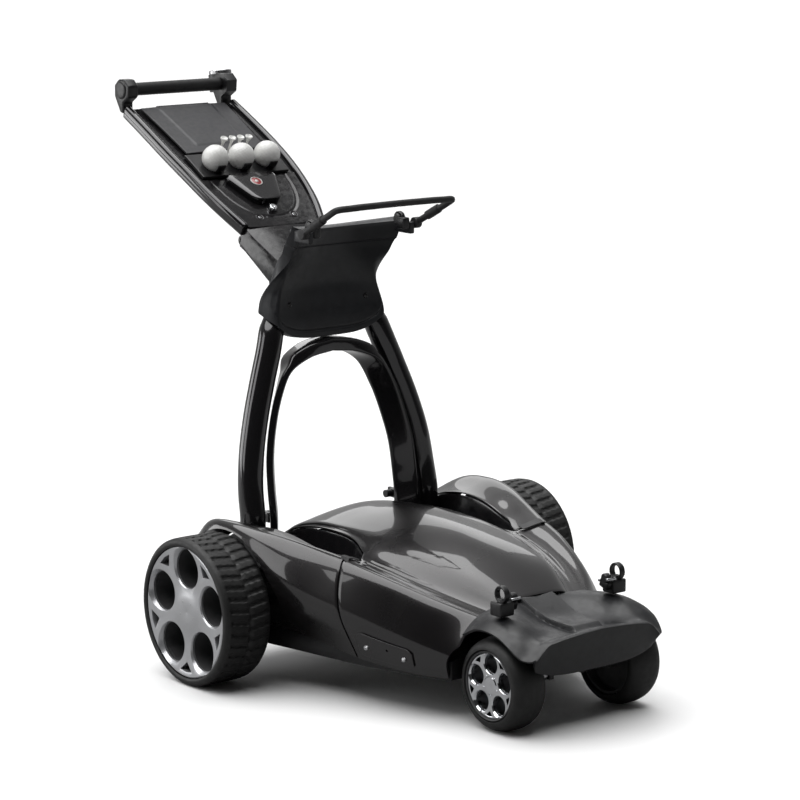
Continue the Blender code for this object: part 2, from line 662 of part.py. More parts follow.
# ---- folding frame --------------------------------------------------------------------
LEG_PATH = ((0.168, 0.062, 0.170), (0.168, 0.059, 0.215), (0.166, 0.067, 0.262), (0.160, 0.073, 0.310),
            (0.144, 0.082, 0.371), (0.126, 0.090, 0.421), (0.107, 0.098, 0.471), (0.094, 0.107, 0.510),
            (0.086, 0.116, 0.545))
BLADE_PATH = ((0.129, 0.060, 0.168), (0.129, 0.058, 0.212), (0.129, 0.064, 0.256), (0.126, 0.071, 0.305),
              (0.116, 0.078, 0.350), (0.100, 0.084, 0.396), (0.078, 0.090, 0.434), (0.042, 0.094, 0.454),
              (0.000, 0.096, 0.461))
BLADE_TOE = math.radians(38)    # how far the blade's section turns from the trolley's length


def leg(side, gap=0.0, steps=12):
    """One leg's tube, or with a gap the room that it needs inside another piece."""
    path = [Vector(mirrored(p, side)) for p in smooth_path(LEG_PATH, steps)]
    path[-1] += (path[-1] - path[-2]).normalized() * gap
    return swept(path, round_section(LEG_R + gap, 12), [Vector((1, 0, 0))] * steps)


def make_legs():
    for label, side in SIDES:
        add_node(f"leg_{label}", cut(leg(side), frame_axle(0.0052)), "gloss_black", FRAME)
    add_node("frame_axle", frame_axle(0.0048), "steel")


def make_arch():
    """The inner blade: an inverted U whose crown carries a web up to the cradle."""
    half = smooth_path(BLADE_PATH, 13)
    path = [Vector(mirrored(p, -1)) for p in half] + half[-2::-1]
    across, webs = [], []
    for place in path:
        side = 1 if place.x >= 0 else -1
        toe = BLADE_TOE * min(1.0, abs(place.x) / 0.10)
        across.append(Vector((-side * math.sin(toe), math.cos(toe), 0)))
        webs.append(0.0060 + 0.0065 * max(0.0, min(1.0, (0.080 - abs(place.x)) / 0.012)))
    half_depth, half_thick = 0.0200, 0.0060

    def section(i):
        top = webs[i]
        return [(-half_depth, -half_thick * 0.5), (-half_depth + 0.004, -half_thick),
                (half_depth - 0.004, -half_thick), (half_depth, -half_thick * 0.5),
                (half_depth, top * 0.5), (half_depth - 0.004, top), (-half_depth + 0.004, top),
                (-half_depth, top * 0.5)]

    lugs = [box((0.1285 * s, LOCK_Y - 0.006, LOCK_Z), (0.006, 0.034, 0.016)) for s in (1, -1)]
    lock_hole = cylinder((-0.15, LOCK_Y, LOCK_Z), (0.15, LOCK_Y, LOCK_Z), 0.0039, 12)
    blade = cut(join(swept(path, section, across), *lugs), frame_axle(0.0052), lock_hole)
    add_node("arch", blade, "satin_black", FRAME)


# Front of the cradle in millimetres: at each height, the half width, y in the middle, y at the edge.
CRADLE = ((476, 62, 90, 70), (490, 88, 94, 80), (508, 102, 97, 97), (535, 101, 100, 98), (560, 97, 100, 91),
          (585, 94, 97, 76), (610, 95, 92, 56), (635, 97, 86, 41), (655, 92, 80, 33))


def cradle_row(z):
    heights = [row[0] for row in CRADLE]
    return [float(through(heights, [row[k] for row in CRADLE], z * 1000)) / 1000 for k in (1, 2, 3)]


def cradle_front(across, z):
    """A point of the cradle's front: across runs from -1 to 1."""
    width, middle, edge = cradle_row(z)
    drop = 0.008 * (1 - abs(across) ** 2) if z > 0.64 else 0.0
    return Vector((across * width, middle + (edge - middle) * abs(across) ** 2.2, z - drop))


def make_cradle():
    """The upper bag saddle: hollowed across, flared forward at the top, round at the bottom."""
    acrosses = np.linspace(-1, 1, 11)
    rows = [[cradle_front(a, z) for a in acrosses] for z in np.linspace(0.478, 0.655, 9)]
    saddle = thick_sheet(rows, 0.016, (0, -1, 0))
    lugs = [box((0.096 * s, 0.028, 0.646), (0.009, 0.050, 0.018)) for s in (1, -1)]
    saddle = join(saddle, *lugs)
    pin_hole = cylinder((-0.12, BAIL_Y, BAIL_Z), (0.12, BAIL_Y, BAIL_Z), 0.0032, 12)
    cutters = [leg(1, GAP), leg(-1, GAP)]
    add_node("cradle", cut(saddle, *cutters, pin_hole), "matt_black", FRAME)


def make_neck():
    """The bracket behind the cradle that carries the handle's hinge."""
    profile = [(0.1185, 0.500), (0.150, 0.500), (0.156, 0.560), (0.2055, 0.6010), (0.2180, 0.6090), (0.2143, 0.6242),
               (0.2048, 0.6371), (0.186, 0.6240), (0.130, 0.590), (0.1185, 0.575)]
    neck = prism(profile, "x", -1, 1)
    for vert in neck.verts:
        vert.co.x *= 0.058 + 0.17 * (vert.co.y - profile[0][0])
    knuckles = [cylinder((a, HINGE_Y, HINGE_Z), (b, HINGE_Y, HINGE_Z), 0.0085, 20)
                for a, b in ((-0.070, -0.020), (0.020, 0.070))]
    neck = join(neck, *knuckles)
    hole = cylinder((-0.08, HINGE_Y, HINGE_Z), (0.08, HINGE_Y, HINGE_Z), 0.0042, 16)
    slot = cylinder((-0.0198, HINGE_Y, HINGE_Z), (0.0198, HINGE_Y, HINGE_Z), 0.0098, 20)
    neck = cut(neck, hole, slot, leg(1, GAP), leg(-1, GAP))
    add_node("neck_bracket", neck, "gloss_black", FRAME)
    add_node("handle_hinge_pin", cylinder((-0.068, HINGE_Y, HINGE_Z), (0.068, HINGE_Y, HINGE_Z), 0.0038, 16),
             "steel", FRAME)


def make_bail():
    """The bag's upper retaining loop, with its clamp knobs on the cradle's lugs."""
    corner = (0.110, BAIL_FRONT_Y, BAIL_FRONT_Z)
    half = [(BAIL_X + 0.0035, BAIL_Y, BAIL_Z), (0.109, -0.030, 0.6725), (0.111, -0.060, 0.688), corner,
            (0.085, BAIL_FRONT_Y - 0.004, BAIL_FRONT_Z + 0.002), (0.040, BAIL_FRONT_Y - 0.006, BAIL_FRONT_Z + 0.003)]
    points = half + [mirrored(p, -1) for p in reversed(half)]
    path = smooth_path(points, 27)
    loop = swept(path, round_section(0.0048, 7), [Vector((0, -0.46, 0.89))] * len(path))
    eyes = [cylinder((0.1018 * s, BAIL_Y, BAIL_Z), (0.1130 * s, BAIL_Y, BAIL_Z), 0.0085, 16) for s in (1, -1)]
    pins = [cylinder((0.0935 * s, BAIL_Y, BAIL_Z), (0.1025 * s, BAIL_Y, BAIL_Z), 0.0028, 12) for s in (1, -1)]
    add_node("strap_bail", join(loop, *eyes, *pins), "rubber", BAIL)
    for label, side in SIDES:
        knob = rounded_box((0.0845 * side, BAIL_Y + 0.004, BAIL_Z + 0.001), (0.013, 0.020, 0.018), 0.003)
        add_node(f"bail_clamp_{label}", knob, "satin_black", FRAME)


def make_fold_locks():
    """Sprung buttons behind the legs' feet, which slide in to let the frame fold."""
    for label, side in SIDES:
        knob = join(cylinder((0.1125, LOCK_Y, LOCK_Z), (0.1245, LOCK_Y, LOCK_Z), 0.0060, 16),
                    cylinder((0.122, LOCK_Y, LOCK_Z), (0.140, LOCK_Y, LOCK_Z), 0.0035, 12))
        add_node(f"fold_lock_{label}", flipped(knob, side), "satin_black", LOCKS[label])


# ---- handle ---------------------------------------------------------------------------
# Upper surface of the handle in millimetres: y, z and half width.
HANDLE = ((200, 641, 72), (231, 664, 84), (272, 691, 94), (317, 719, 100), (369, 748, 103), (426, 778, 103),
          (488, 809, 102))


def handle_line(y):
    stations = [row[0] for row in HANDLE]
    return [float(through(stations, [row[k] for row in HANDLE], y * 1000)) / 1000 for k in (1, 2)]


def handle_slope(y):
    return math.atan2(handle_line(y + 0.004)[0] - handle_line(y - 0.004)[0], 0.008)


def on_handle(x, y, up=0.0):
    """A point at up above the handle's upper surface."""
    slope = handle_slope(y)
    return Vector((x, y - up * math.sin(slope), handle_line(y)[0] + up * math.cos(slope)))


def handle_rows(start, end, steps, half_width, up):
    """Grid rows over a stretch of the handle; half_width is a number or a function of y."""
    rows = []
    for y in np.linspace(start, end, steps):
        wide = half_width(y) if callable(half_width) else half_width
        rows.append([on_handle(x, y, up) for x in np.linspace(-wide, wide, 5)])
    return rows


def ball_seats():
    return [ball(on_handle(x, 0.324, 0.0145), 0.02260, 14) for x in (-0.050, 0, 0.050)]


def make_board():
    """The handle's deck between two rails, with the hinge's tongue below its lower end."""
    board = thick_sheet(handle_rows(0.202, 0.486, 11, lambda y: handle_line(y)[1] - 0.0075, -0.006), 0.016,
                        (0, -0.5, 0.8))
    knuckle = cylinder((-0.0190, HINGE_Y, HINGE_Z), (0.0190, HINGE_Y, HINGE_Z), 0.0085, 20)
    slope = handle_slope(0.210)
    tongue = box((0, HINGE_Y + 0.0045 * math.cos(slope) - 0.007 * math.sin(slope),
                  HINGE_Z + 0.0045 * math.sin(slope) + 0.007 * math.cos(slope)), (0.038, 0.0072, 0.014), slope)
    hole = cylinder((-0.03, HINGE_Y, HINGE_Z), (0.03, HINGE_Y, HINGE_Z), 0.0042, 16)
    store = thick_sheet(handle_rows(0.372, 0.470, 4, 0.060, 0.010), 0.026, (0, -0.5, 0.8))
    pocket = cylinder(on_handle(0, BUTTON_Y, -0.0125), on_handle(0, BUTTON_Y, 0.002), 0.0072, 20)
    board = cut(join(board, knuckle, tongue), hole, store, pocket, *ball_seats())
    add_node("handle_board", board, "satin_black", HANDLE_PIVOT)
    for label, side in SIDES:
        path = [on_handle(side * handle_line(y)[1], y, -0.009) for y in np.linspace(0.2025, 0.4830, 10)]
        rail = swept(path, round_section(0.0070, 8, 0.0110), [Vector((1, 0, 0))] * len(path))
        add_node(f"side_rail_{label}", rail, "gloss_black", HANDLE_PIVOT)


def make_grip():
    """The grip bar between two end brackets, with an umbrella socket on the left one."""
    for label, side in SIDES:
        arm = [(0.4935, 0.8125), (0.4935, 0.7950), (0.503, 0.797), (0.518, 0.822), (0.518, 0.840), (0.506, 0.850),
               (0.488, 0.850), (0.476, 0.840), (0.478, 0.822)]
        bracket = prism(arm, "x", side * 0.0860, side * 0.1060)
        if side > 0:
            cup = cylinder((0.1065, 0.5200, 0.8180), (0.1065, 0.5240, 0.8460), 0.0200, 24)
            bracket = join(bracket, cup)
        add_node(f"grip_bracket_{label}", bracket, "satin_black", HANDLE_PIVOT)
    bar = cylinder((-0.0856, 0.498, 0.833), (0.0856, 0.498, 0.833), 0.0105, 20)
    add_node("grip_bar", bar, "rubber", HANDLE_PIVOT)
    base, top = Vector((0.1065, 0.5241, 0.8466)), Vector((0.1065, 0.5250, 0.8526))
    insert = cut(cylinder(base, top, 0.0165, 24), cylinder(base - (top - base) * 0.0, top + (top - base), 0.0095, 20))
    add_node("umbrella_insert", insert, "steel", HANDLE_PIVOT)


def make_handle_top():
    """The lid, the tray with its golf balls, the control pod and the button."""
    lid = thick_sheet(handle_rows(0.357, 0.478, 5, lambda y: 0.076 + 0.006 * (y - 0.357) / 0.119, 0.0005), 0.0035,
                      (0, -0.5, 0.8))
    bead = on_handle(0, 0.4790, -0.0020)
    lid = join(lid, cylinder(bead - Vector((0.050, 0, 0)), bead + Vector((0.050, 0, 0)), 0.0030, 12))
    add_node("storage_lid", lid, "grey_panel", LID)
    tray = thick_sheet(handle_rows(0.302, 0.354, 4, 0.083, -0.0005), 0.0045, (0, -0.5, 0.8))
    add_node("ball_tray", cut(tray, *ball_seats()), "satin_black", HANDLE_PIVOT)
    for name, x in (("right", -0.050), ("middle", 0.0), ("left", 0.050)):
        add_node(f"golf_ball_{name}", ball(on_handle(x, 0.324, 0.0145), 0.02135, 12), "white", HANDLE_PIVOT)
    pod = loft([[on_handle(x * wide, y, up) for x, y in ((-1, 0.243), (1, 0.243), (1.17, 0.297), (-1.17, 0.297))]
                for wide, up in ((0.043, -0.0055), (0.043, 0.0030), (0.038, 0.0060))])
    add_node("control_pod", pod, "gloss_black", HANDLE_PIVOT)
    button = cylinder(on_handle(0, BUTTON_Y, -0.0055), on_handle(0, BUTTON_Y, 0.0006), 0.0065, 20)
    add_node("power_button", button, "chrome", BUTTON)


# ---- assembly -------------------------------------------------------------------------
clear_scene()
PARTS = new_collection("golf_trolley")
CUTTERS = new_collection("cutters")
REAR_WHEELS = {n: joint_empty(f"rear_axle_{n}", (0.29 * s, 0, REAR_WHEEL_R)) for n, s in SIDES}
PINIONS = {n: joint_empty(f"pinion_axle_{n}", (0.19 * s, -GEAR_CENTRES, REAR_WHEEL_R)) for n, s in SIDES}
FRONT_WHEELS = {n: joint_empty(f"front_axle_{n}", (0.11 * s, FRONT_AXLE_Y, FRONT_WHEEL_R)) for n, s in SIDES}
DOOR = joint_empty("door_hinge", (0, 0.1125, 0.1572))
FRAME = joint_empty("frame_hinge", (0, FOLD_Y, FOLD_Z))
LOCKS = {n: joint_empty(f"lock_slide_{n}", (0.118 * s, LOCK_Y, LOCK_Z), FRAME) for n, s in SIDES}
BAIL = joint_empty("bail_hinge", (0, BAIL_Y, BAIL_Z), FRAME)
HANDLE_PIVOT = joint_empty("handle_hinge", (0, HINGE_Y, HINGE_Z), FRAME)
LID = joint_empty("lid_hinge", on_handle(0, 0.4790, -0.0020), HANDLE_PIVOT)
BUTTON = joint_empty("button_slide", on_handle(0, BUTTON_Y, 0), HANDLE_PIVOT)

make_tray()
make_fenders()
make_bonnet()
make_hinge_wells()
make_rear_panel_and_door()
make_side_covers()
make_drive()
make_rear_wheels()
make_front_wheels()
make_bag_rest()
make_lower_clips()
make_legs()
make_arch()
make_cradle()
make_neck()
make_bail()
make_fold_locks()
make_board()
make_grip()
make_handle_top()
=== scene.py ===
"""Electric golf trolley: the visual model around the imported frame.

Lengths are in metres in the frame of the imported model: the trolley drives towards -Y, +X is
its left side, +Z is up, and the origin is on the ground below the middle of the rear axle.
"""

import math

import bmesh
import bpy
import numpy as np
from mathutils import Matrix, Vector
from mathutils.kdtree import KDTree


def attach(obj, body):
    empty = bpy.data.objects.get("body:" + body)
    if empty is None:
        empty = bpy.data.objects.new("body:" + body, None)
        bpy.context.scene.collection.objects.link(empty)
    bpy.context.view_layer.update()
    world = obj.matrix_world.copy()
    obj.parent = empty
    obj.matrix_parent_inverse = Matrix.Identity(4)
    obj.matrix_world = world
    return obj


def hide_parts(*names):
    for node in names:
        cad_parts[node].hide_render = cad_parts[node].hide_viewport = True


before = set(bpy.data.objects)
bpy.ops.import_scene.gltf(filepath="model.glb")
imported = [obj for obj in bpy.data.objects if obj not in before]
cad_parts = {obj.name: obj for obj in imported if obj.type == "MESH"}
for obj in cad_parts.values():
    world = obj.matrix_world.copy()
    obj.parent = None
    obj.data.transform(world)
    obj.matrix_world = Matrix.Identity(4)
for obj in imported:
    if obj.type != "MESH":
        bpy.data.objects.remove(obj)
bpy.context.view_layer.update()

# ---- dimensions shared with the CAD model ----------------------------------------------
SIDES = (("left", 1), ("right", -1))
REAR_WHEEL_R = 0.111
REAR_TYRE_IN, REAR_TYRE_OUT = 0.249, 0.338
REAR_RIM_R = 0.0985
FRONT_WHEEL_R = 0.0676
FRONT_AXLE_Y = -0.459
FRONT_TYRE_IN, FRONT_TYRE_OUT = 0.080, 0.138
FRONT_RIM_R = 0.0500
SPOKES = 5
ON_AXIS = 0.00001                # how near a turned profile comes to its axis
REAR_HOLE_R, REAR_HOLE_PITCH = 0.0292, 0.0655
FRONT_HOLE_R, FRONT_HOLE_PITCH = 0.0140, 0.0312
SHELL, SEAM = 0.0025, 0.0030
SEAM_TOP_Y, SEAM_LOW_Y = -0.183, -0.243
BODY_REAR_Y, BODY_FRONT_Y = 0.110, -0.4025
RECESS_REAR_Y = 0.096
WELL_FLOOR_Z = 0.152
HINGE_Y, HINGE_Z = 0.220, 0.617
BAIL_Y, BAIL_Z, BAIL_X = 0.008, 0.653, 0.104
BAIL_FRONT_Y, BAIL_FRONT_Z = -0.075, 0.696
BUTTON_Y = 0.231
LEG_R = 0.0195
BAG_REST_FRONT_Y = -0.5438


# ---- materials --------------------------------------------------------------------------
def new_material(name, colour, roughness, metallic=0.0, **sockets):
    made = bpy.data.materials.new(name)
    made.use_nodes = True
    shader = made.node_tree.nodes["Principled BSDF"]
    shader.inputs["Base Color"].default_value = (*colour, 1.0)
    shader.inputs["Roughness"].default_value = roughness
    shader.inputs["Metallic"].default_value = metallic
    for socket, value in sockets.items():
        shader.inputs[socket.replace("_", " ")].default_value = value
    return made


def noise(mat, scale, detail=3.0, kind="noise", stretch=(1, 1, 1)):
    """A 3-D texture in object space; returns the socket of its value."""
    nodes, links = mat.node_tree.nodes, mat.node_tree.links
    place = nodes.new("ShaderNodeTexCoord")
    mapping = nodes.new("ShaderNodeMapping")
    mapping.inputs["Scale"].default_value = stretch
    links.new(place.outputs["Object"], mapping.inputs["Vector"])
    if kind == "cells":
        texture = nodes.new("ShaderNodeTexVoronoi")
        texture.inputs["Scale"].default_value = scale
        value = texture.outputs["Distance"]
    else:
        texture = nodes.new("ShaderNodeTexNoise")
        texture.inputs["Scale"].default_value = scale
        texture.inputs["Detail"].default_value = detail
        value = texture.outputs["Fac"]
    links.new(mapping.outputs["Vector"], texture.inputs["Vector"])
    return value


def vary(mat, value, socket, low, high, start=0.35, end=0.65):
    """Spread a socket between low and high with a texture's value."""
    nodes, links = mat.node_tree.nodes, mat.node_tree.links
    shader = nodes["Principled BSDF"]
    if isinstance(low, tuple):
        ramp = nodes.new("ShaderNodeValToRGB")
        ramp.color_ramp.elements[0].position = start
        ramp.color_ramp.elements[1].position = end
        ramp.color_ramp.elements[0].color = (*low, 1)
        ramp.color_ramp.elements[1].color = (*high, 1)
        links.new(value, ramp.inputs["Fac"])
        links.new(ramp.outputs["Color"], shader.inputs[socket])
    else:
        spread = nodes.new("ShaderNodeMapRange")
        spread.inputs["From Min"].default_value = start
        spread.inputs["From Max"].default_value = end
        spread.inputs["To Min"].default_value = low
        spread.inputs["To Max"].default_value = high
        links.new(value, spread.inputs["Value"])
        links.new(spread.outputs["Result"], shader.inputs[socket])


def grain(mat, value, strength, distance):
    nodes, links = mat.node_tree.nodes, mat.node_tree.links
    bump = nodes.new("ShaderNodeBump")
    bump.inputs["Strength"].default_value = strength
    bump.inputs["Distance"].default_value = distance
    links.new(value, bump.inputs["Height"])
    links.new(bump.outputs["Normal"], nodes["Principled BSDF"].inputs["Normal"])


def lacquer(name, dark, light, roughness):
    """Black lacquer with fine metal flake under a clear coat."""
    mat = new_material(name, dark, roughness, 0.55, Coat_Weight=1.0, Coat_Roughness=0.04)
    vary(mat, noise(mat, 2600, kind="cells"), "Base Color", dark, light, 0.10, 0.75)
    vary(mat, noise(mat, 9.0, 4.0), "Roughness", roughness - 0.03, roughness + 0.05)
    return mat


def plastic(name, dark, light, roughness, cell, depth):
    """Moulded plastic with an etched grain."""
    mat = new_material(name, dark, roughness)
    vary(mat, noise(mat, 35, 5.0), "Base Color", dark, light)
    vary(mat, noise(mat, 120, 3.0), "Roughness", roughness - 0.05, roughness + 0.07)
    grain(mat, noise(mat, cell, kind="cells"), 0.35, depth)
    return mat


LACQUER = lacquer("black_lacquer", (0.006, 0.0055, 0.006), (0.020, 0.018, 0.019), 0.27)
FRAME_LACQUER = lacquer("frame_lacquer", (0.010, 0.0095, 0.011), (0.020, 0.019, 0.021), 0.16)
GLOSS = plastic("gloss_plastic", (0.008, 0.008, 0.009), (0.012, 0.011, 0.012), 0.16, 300, 0.00002)
SATIN = plastic("satin_plastic", (0.007, 0.007, 0.008), (0.011, 0.011, 0.012), 0.36, 900, 0.00008)
MATT = plastic("matt_plastic", (0.010, 0.0105, 0.0125), (0.015, 0.016, 0.0185), 0.40, 800, 0.00012)
REST = plastic("rest_plastic", (0.007, 0.0075, 0.0085), (0.011, 0.0115, 0.013), 0.38, 900, 0.00010)
PANEL = plastic("panel_plastic", (0.030, 0.030, 0.033), (0.038, 0.038, 0.042), 0.46, 700, 0.00012)
DEEP = plastic("deep_plastic", (0.045, 0.045, 0.047), (0.060, 0.060, 0.062), 0.50, 700, 0.00010)
TYRE = plastic("tyre_rubber", (0.0065, 0.0065, 0.0065), (0.011, 0.011, 0.011), 0.54, 420, 0.00020)
SOFT = plastic("grip_rubber", (0.010, 0.010, 0.0105), (0.016, 0.016, 0.017), 0.58, 800, 0.00015)
WHITE = new_material("ball_white", (0.82, 0.82, 0.80), 0.28, Coat_Weight=0.4, Coat_Roughness=0.10)
vary(WHITE, noise(WHITE, 60, 2.0), "Base Color", (0.78, 0.78, 0.76), (0.86, 0.86, 0.84))
TEE = new_material("tee_white", (0.83, 0.83, 0.81), 0.38)
vary(TEE, noise(TEE, 200, 2.0), "Base Color", (0.80, 0.80, 0.77), (0.86, 0.86, 0.84))
SILVER = new_material("silver_paint", (0.42, 0.425, 0.44), 0.34, 0.75, Coat_Weight=0.5, Coat_Roughness=0.15)
vary(SILVER, noise(SILVER, 2400, kind="cells"), "Base Color", (0.40, 0.405, 0.42), (0.56, 0.565, 0.58), 0.1, 0.8)
vary(SILVER, noise(SILVER, 14, 3.0), "Roughness", 0.30, 0.40)
CHROME = new_material("chrome_plating", (0.70, 0.71, 0.73), 0.14, 1.0)
vary(CHROME, noise(CHROME, 30, 3.0), "Roughness", 0.10, 0.20)
STEEL = new_material("steel", (0.45, 0.45, 0.46), 0.28, 1.0)
vary(STEEL, noise(STEEL, 60, 4.0, stretch=(0.2, 6, 6)), "Roughness", 0.22, 0.40)
CELL = plastic("battery_case", (0.020, 0.021, 0.023), (0.028, 0.029, 0.031), 0.50, 600, 0.00010)
RED = new_material("badge_red", (0.30, 0.02, 0.025), 0.30, Coat_Weight=0.6, Coat_Roughness=0.08)
vary(RED, noise(RED, 400, 2.0), "Base Color", (0.26, 0.018, 0.022), (0.34, 0.026, 0.030))
PALE = new_material("badge_pale", (0.60, 0.60, 0.58), 0.32, 0.3)
vary(PALE, noise(PALE, 400, 2.0), "Base Color", (0.55, 0.55, 0.53), (0.64, 0.64, 0.62))


# ---- mesh helpers -----------------------------------------------------------------------
def facing_out(bm):
    """Turn every face of a closed shape outwards."""
    bm.normal_update()
    bmesh.ops.recalc_face_normals(bm, faces=bm.faces)
    return bm


def evaluated(bm, modifiers):
    """Apply modifiers, given as (kind, settings), to a bmesh."""
    mesh = bpy.data.meshes.new("blank")
    bm.to_mesh(mesh)
    bm.free()
    blank = bpy.data.objects.new("blank", mesh)
    bpy.context.scene.collection.objects.link(blank)
    for number, (kind, settings) in enumerate(modifiers):
        modifier = blank.modifiers.new(f"m{number}", kind)
        for key, value in settings.items():
            setattr(modifier, key, value)
    graph = bpy.context.evaluated_depsgraph_get()
    graph.update()
    result = bmesh.new()
    made = bpy.data.meshes.new_from_object(blank.evaluated_get(graph), depsgraph=graph)
    result.from_mesh(made)
    bpy.data.objects.remove(blank, do_unlink=True)
    bpy.data.meshes.remove(mesh)
    bpy.data.meshes.remove(made)
    return result


def bevelled(bm, width, segments=2, angle=35):
    """Round the edges sharper than an angle in degrees."""
    return evaluated(bm, [("BEVEL", {"width": width, "segments": segments, "limit_method": "ANGLE",
                                     "angle_limit": math.radians(angle), "use_clamp_overlap": True})])


def cut(bm, *tools):
    """Subtract closed shapes from a shape."""
    for tool in tools:
        mesh = bpy.data.meshes.new("tool")
        tool.to_mesh(mesh)
        tool.free()
        other = bpy.data.objects.new("tool", mesh)
        bpy.context.scene.collection.objects.link(other)
        bm = evaluated(bm, [("BOOLEAN", {"object": other, "operation": "DIFFERENCE", "solver": "EXACT"})])
        bpy.data.objects.remove(other, do_unlink=True)
        bpy.data.meshes.remove(mesh)
    bmesh.ops.remove_doubles(bm, verts=bm.verts, dist=1e-6)
    return bm


def together(*shapes):
    """Put several closed shapes in one bmesh."""
    whole = bmesh.new()
    for shape in shapes:
        mesh = bpy.data.meshes.new("part")
        shape.to_mesh(mesh)
        shape.free()
        whole.from_mesh(mesh)
        bpy.data.meshes.remove(mesh)
    return whole


def piece(name, bm, mat, body, replaced=(), smooth=32):
    """Make a named piece that rides on a body, and hides the CAD nodes that it stands for."""
    mesh = bpy.data.meshes.new(name)
    bm.to_mesh(mesh)
    bm.free()
    mesh.materials.append(mat)
    mesh.shade_smooth()
    mesh.set_sharp_from_angle(angle=math.radians(smooth))
    thing = bpy.data.objects.new(name, mesh)
    bpy.context.scene.collection.objects.link(thing)
    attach(thing, body)
    if replaced:
        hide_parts(*replaced)
    return thing


def from_node(node, width=0.0, segments=3, angle=30):
    """The CAD node's shape with its edges rounded off."""
    bm = bmesh.new()
    bm.from_mesh(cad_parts[node].data)
    bm.transform(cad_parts[node].matrix_world)
    bmesh.ops.remove_doubles(bm, verts=bm.verts, dist=1e-6)
    bmesh.ops.dissolve_limit(bm, angle_limit=math.radians(2), verts=bm.verts, edges=bm.edges)
    if width:
        bm = bevelled(bm, width, segments, angle)
    return bm


def box(centre, size, tilt=0.0, bevel=0.0, segments=2):
    bm = bmesh.new()
    bmesh.ops.create_cube(bm, size=1.0)
    bm.transform(Matrix.Diagonal((*size, 1.0)))
    facing_out(bm)
    if bevel:
        bm = bevelled(bm, bevel, segments)
    bm.transform(Matrix.Translation(centre) @ Matrix.Rotation(tilt, 4, "X"))
    return bm


def cylinder(start, end, radius, segments=48, end_radius=None, bevel=0.0):
    start, end = Vector(start), Vector(end)
    bm = bmesh.new()
    bmesh.ops.create_cone(bm, cap_ends=True, segments=segments, radius1=radius,
                          radius2=radius if end_radius is None else end_radius, depth=(end - start).length)
    facing_out(bm)
    if bevel:
        bm = bevelled(bm, bevel, 3, 50)
    bm.transform(Matrix.Translation((start + end) / 2) @ (end - start).to_track_quat("Z", "Y").to_matrix().to_4x4())
    bm.normal_update()
    return bm


def turned(profile, centre, segments=96, axis=None):
    """Turn a closed profile of (along, radius) points about X, or about another axis, through centre."""
    bm = bmesh.new()
    rings = []
    for step in range(segments):
        angle = 2 * math.pi * step / segments
        rings.append([bm.verts.new((x, r * math.cos(angle), r * math.sin(angle))) for x, r in profile])
    for near, far in zip(rings, rings[1:] + rings[:1]):
        for i in range(len(profile)):
            j = (i + 1) % len(profile)
            bm.faces.new((near[i], near[j], far[j], far[i]))
    turn = Vector(axis).to_track_quat("X", "Z").to_matrix().to_4x4() if axis else Matrix.Identity(4)
    bm.transform(Matrix.Translation(centre) @ turn)
    bmesh.ops.remove_doubles(bm, verts=bm.verts, dist=1e-7)
    return facing_out(bm)


def prism(outline, start, end):
    """Extrude a (y, z) outline along X."""
    bm = bmesh.new()
    low = [bm.verts.new((start, a, b)) for a, b in outline]
    high = [bm.verts.new((end, a, b)) for a, b in outline]
    bm.faces.new(low)
    bm.faces.new(high)
    for i in range(len(outline)):
        j = (i + 1) % len(outline)
        bm.faces.new((low[i], low[j], high[j], high[i]))
    return facing_out(bm)


def loft(sections):
    """A closed skin over rings of points, with both ends capped."""
    bm = bmesh.new()
    rings = [[bm.verts.new(point) for point in section] for section in sections]
    for near, far in zip(rings, rings[1:]):
        for i in range(len(near)):
            j = (i + 1) % len(near)
            bm.faces.new((near[i], near[j], far[j], far[i]))
    bm.faces.new(rings[0])
    bm.faces.new(rings[-1])
    return facing_out(bm)


def axes_at(path, i, across):
    """The across and up directions of a section at a path's point, square to the path."""
    tangent = (path[min(i + 1, len(path) - 1)] - path[max(i - 1, 0)]).normalized()
    first = (across - tangent * across.dot(tangent)).normalized()
    return first, tangent.cross(first)


def swept(path, section, across):
    """Sweep (across, up) offsets along a path."""
    rings = []
    for i, place in enumerate(path):
        first, second = axes_at(path, i, Vector(across))
        rings.append([place + first * a + second * b for a, b in section])
    return loft(rings)


def sheet(rows, thickness, outward, edge=0.0, skip=None):
    """A wall whose front faces are a grid of points; skip(i, j) leaves a face out."""
    bm = bmesh.new()
    grid = [[bm.verts.new(point) for point in row] for row in rows]
    for i, (low, high) in enumerate(zip(grid, grid[1:])):
        for j in range(len(low) - 1):
            if not (skip and skip(i, j)):
                bm.faces.new((low[j], low[j + 1], high[j + 1], high[j]))
    loose = [v for v in bm.verts if not v.link_faces]
    bmesh.ops.delete(bm, geom=loose, context="VERTS")
    bm.normal_update()
    total = sum((face.normal * face.calc_area() for face in bm.faces), Vector())
    if total.dot(Vector(outward)) < 0:
        bmesh.ops.reverse_faces(bm, faces=bm.faces)
    bm = evaluated(bm, [("SOLIDIFY", {"thickness": thickness, "offset": -1.0, "use_even_offset": False})])
    return bevelled(bm, edge, 2, 55) if edge else bm


def through(stations, values, at):
    """Smooth curve through (station, value) pairs, read at one or more stations."""
    xs = np.array(stations, dtype=float)
    ys = np.array(values, dtype=float)
    if xs[0] > xs[-1]:
        xs, ys = xs[::-1], ys[::-1]
    slopes = np.gradient(ys, xs)
    at = np.clip(at, xs[0], xs[-1])
    i = np.clip(np.searchsorted(xs, at) - 1, 0, len(xs) - 2)
    width = xs[i + 1] - xs[i]
    t = (at - xs[i]) / width
    return ((2 * t**3 - 3 * t**2 + 1) * ys[i] + (t**3 - 2 * t**2 + t) * width * slopes[i]
            + (3 * t**2 - 2 * t**3) * ys[i + 1] + (t**3 - t**2) * width * slopes[i + 1])


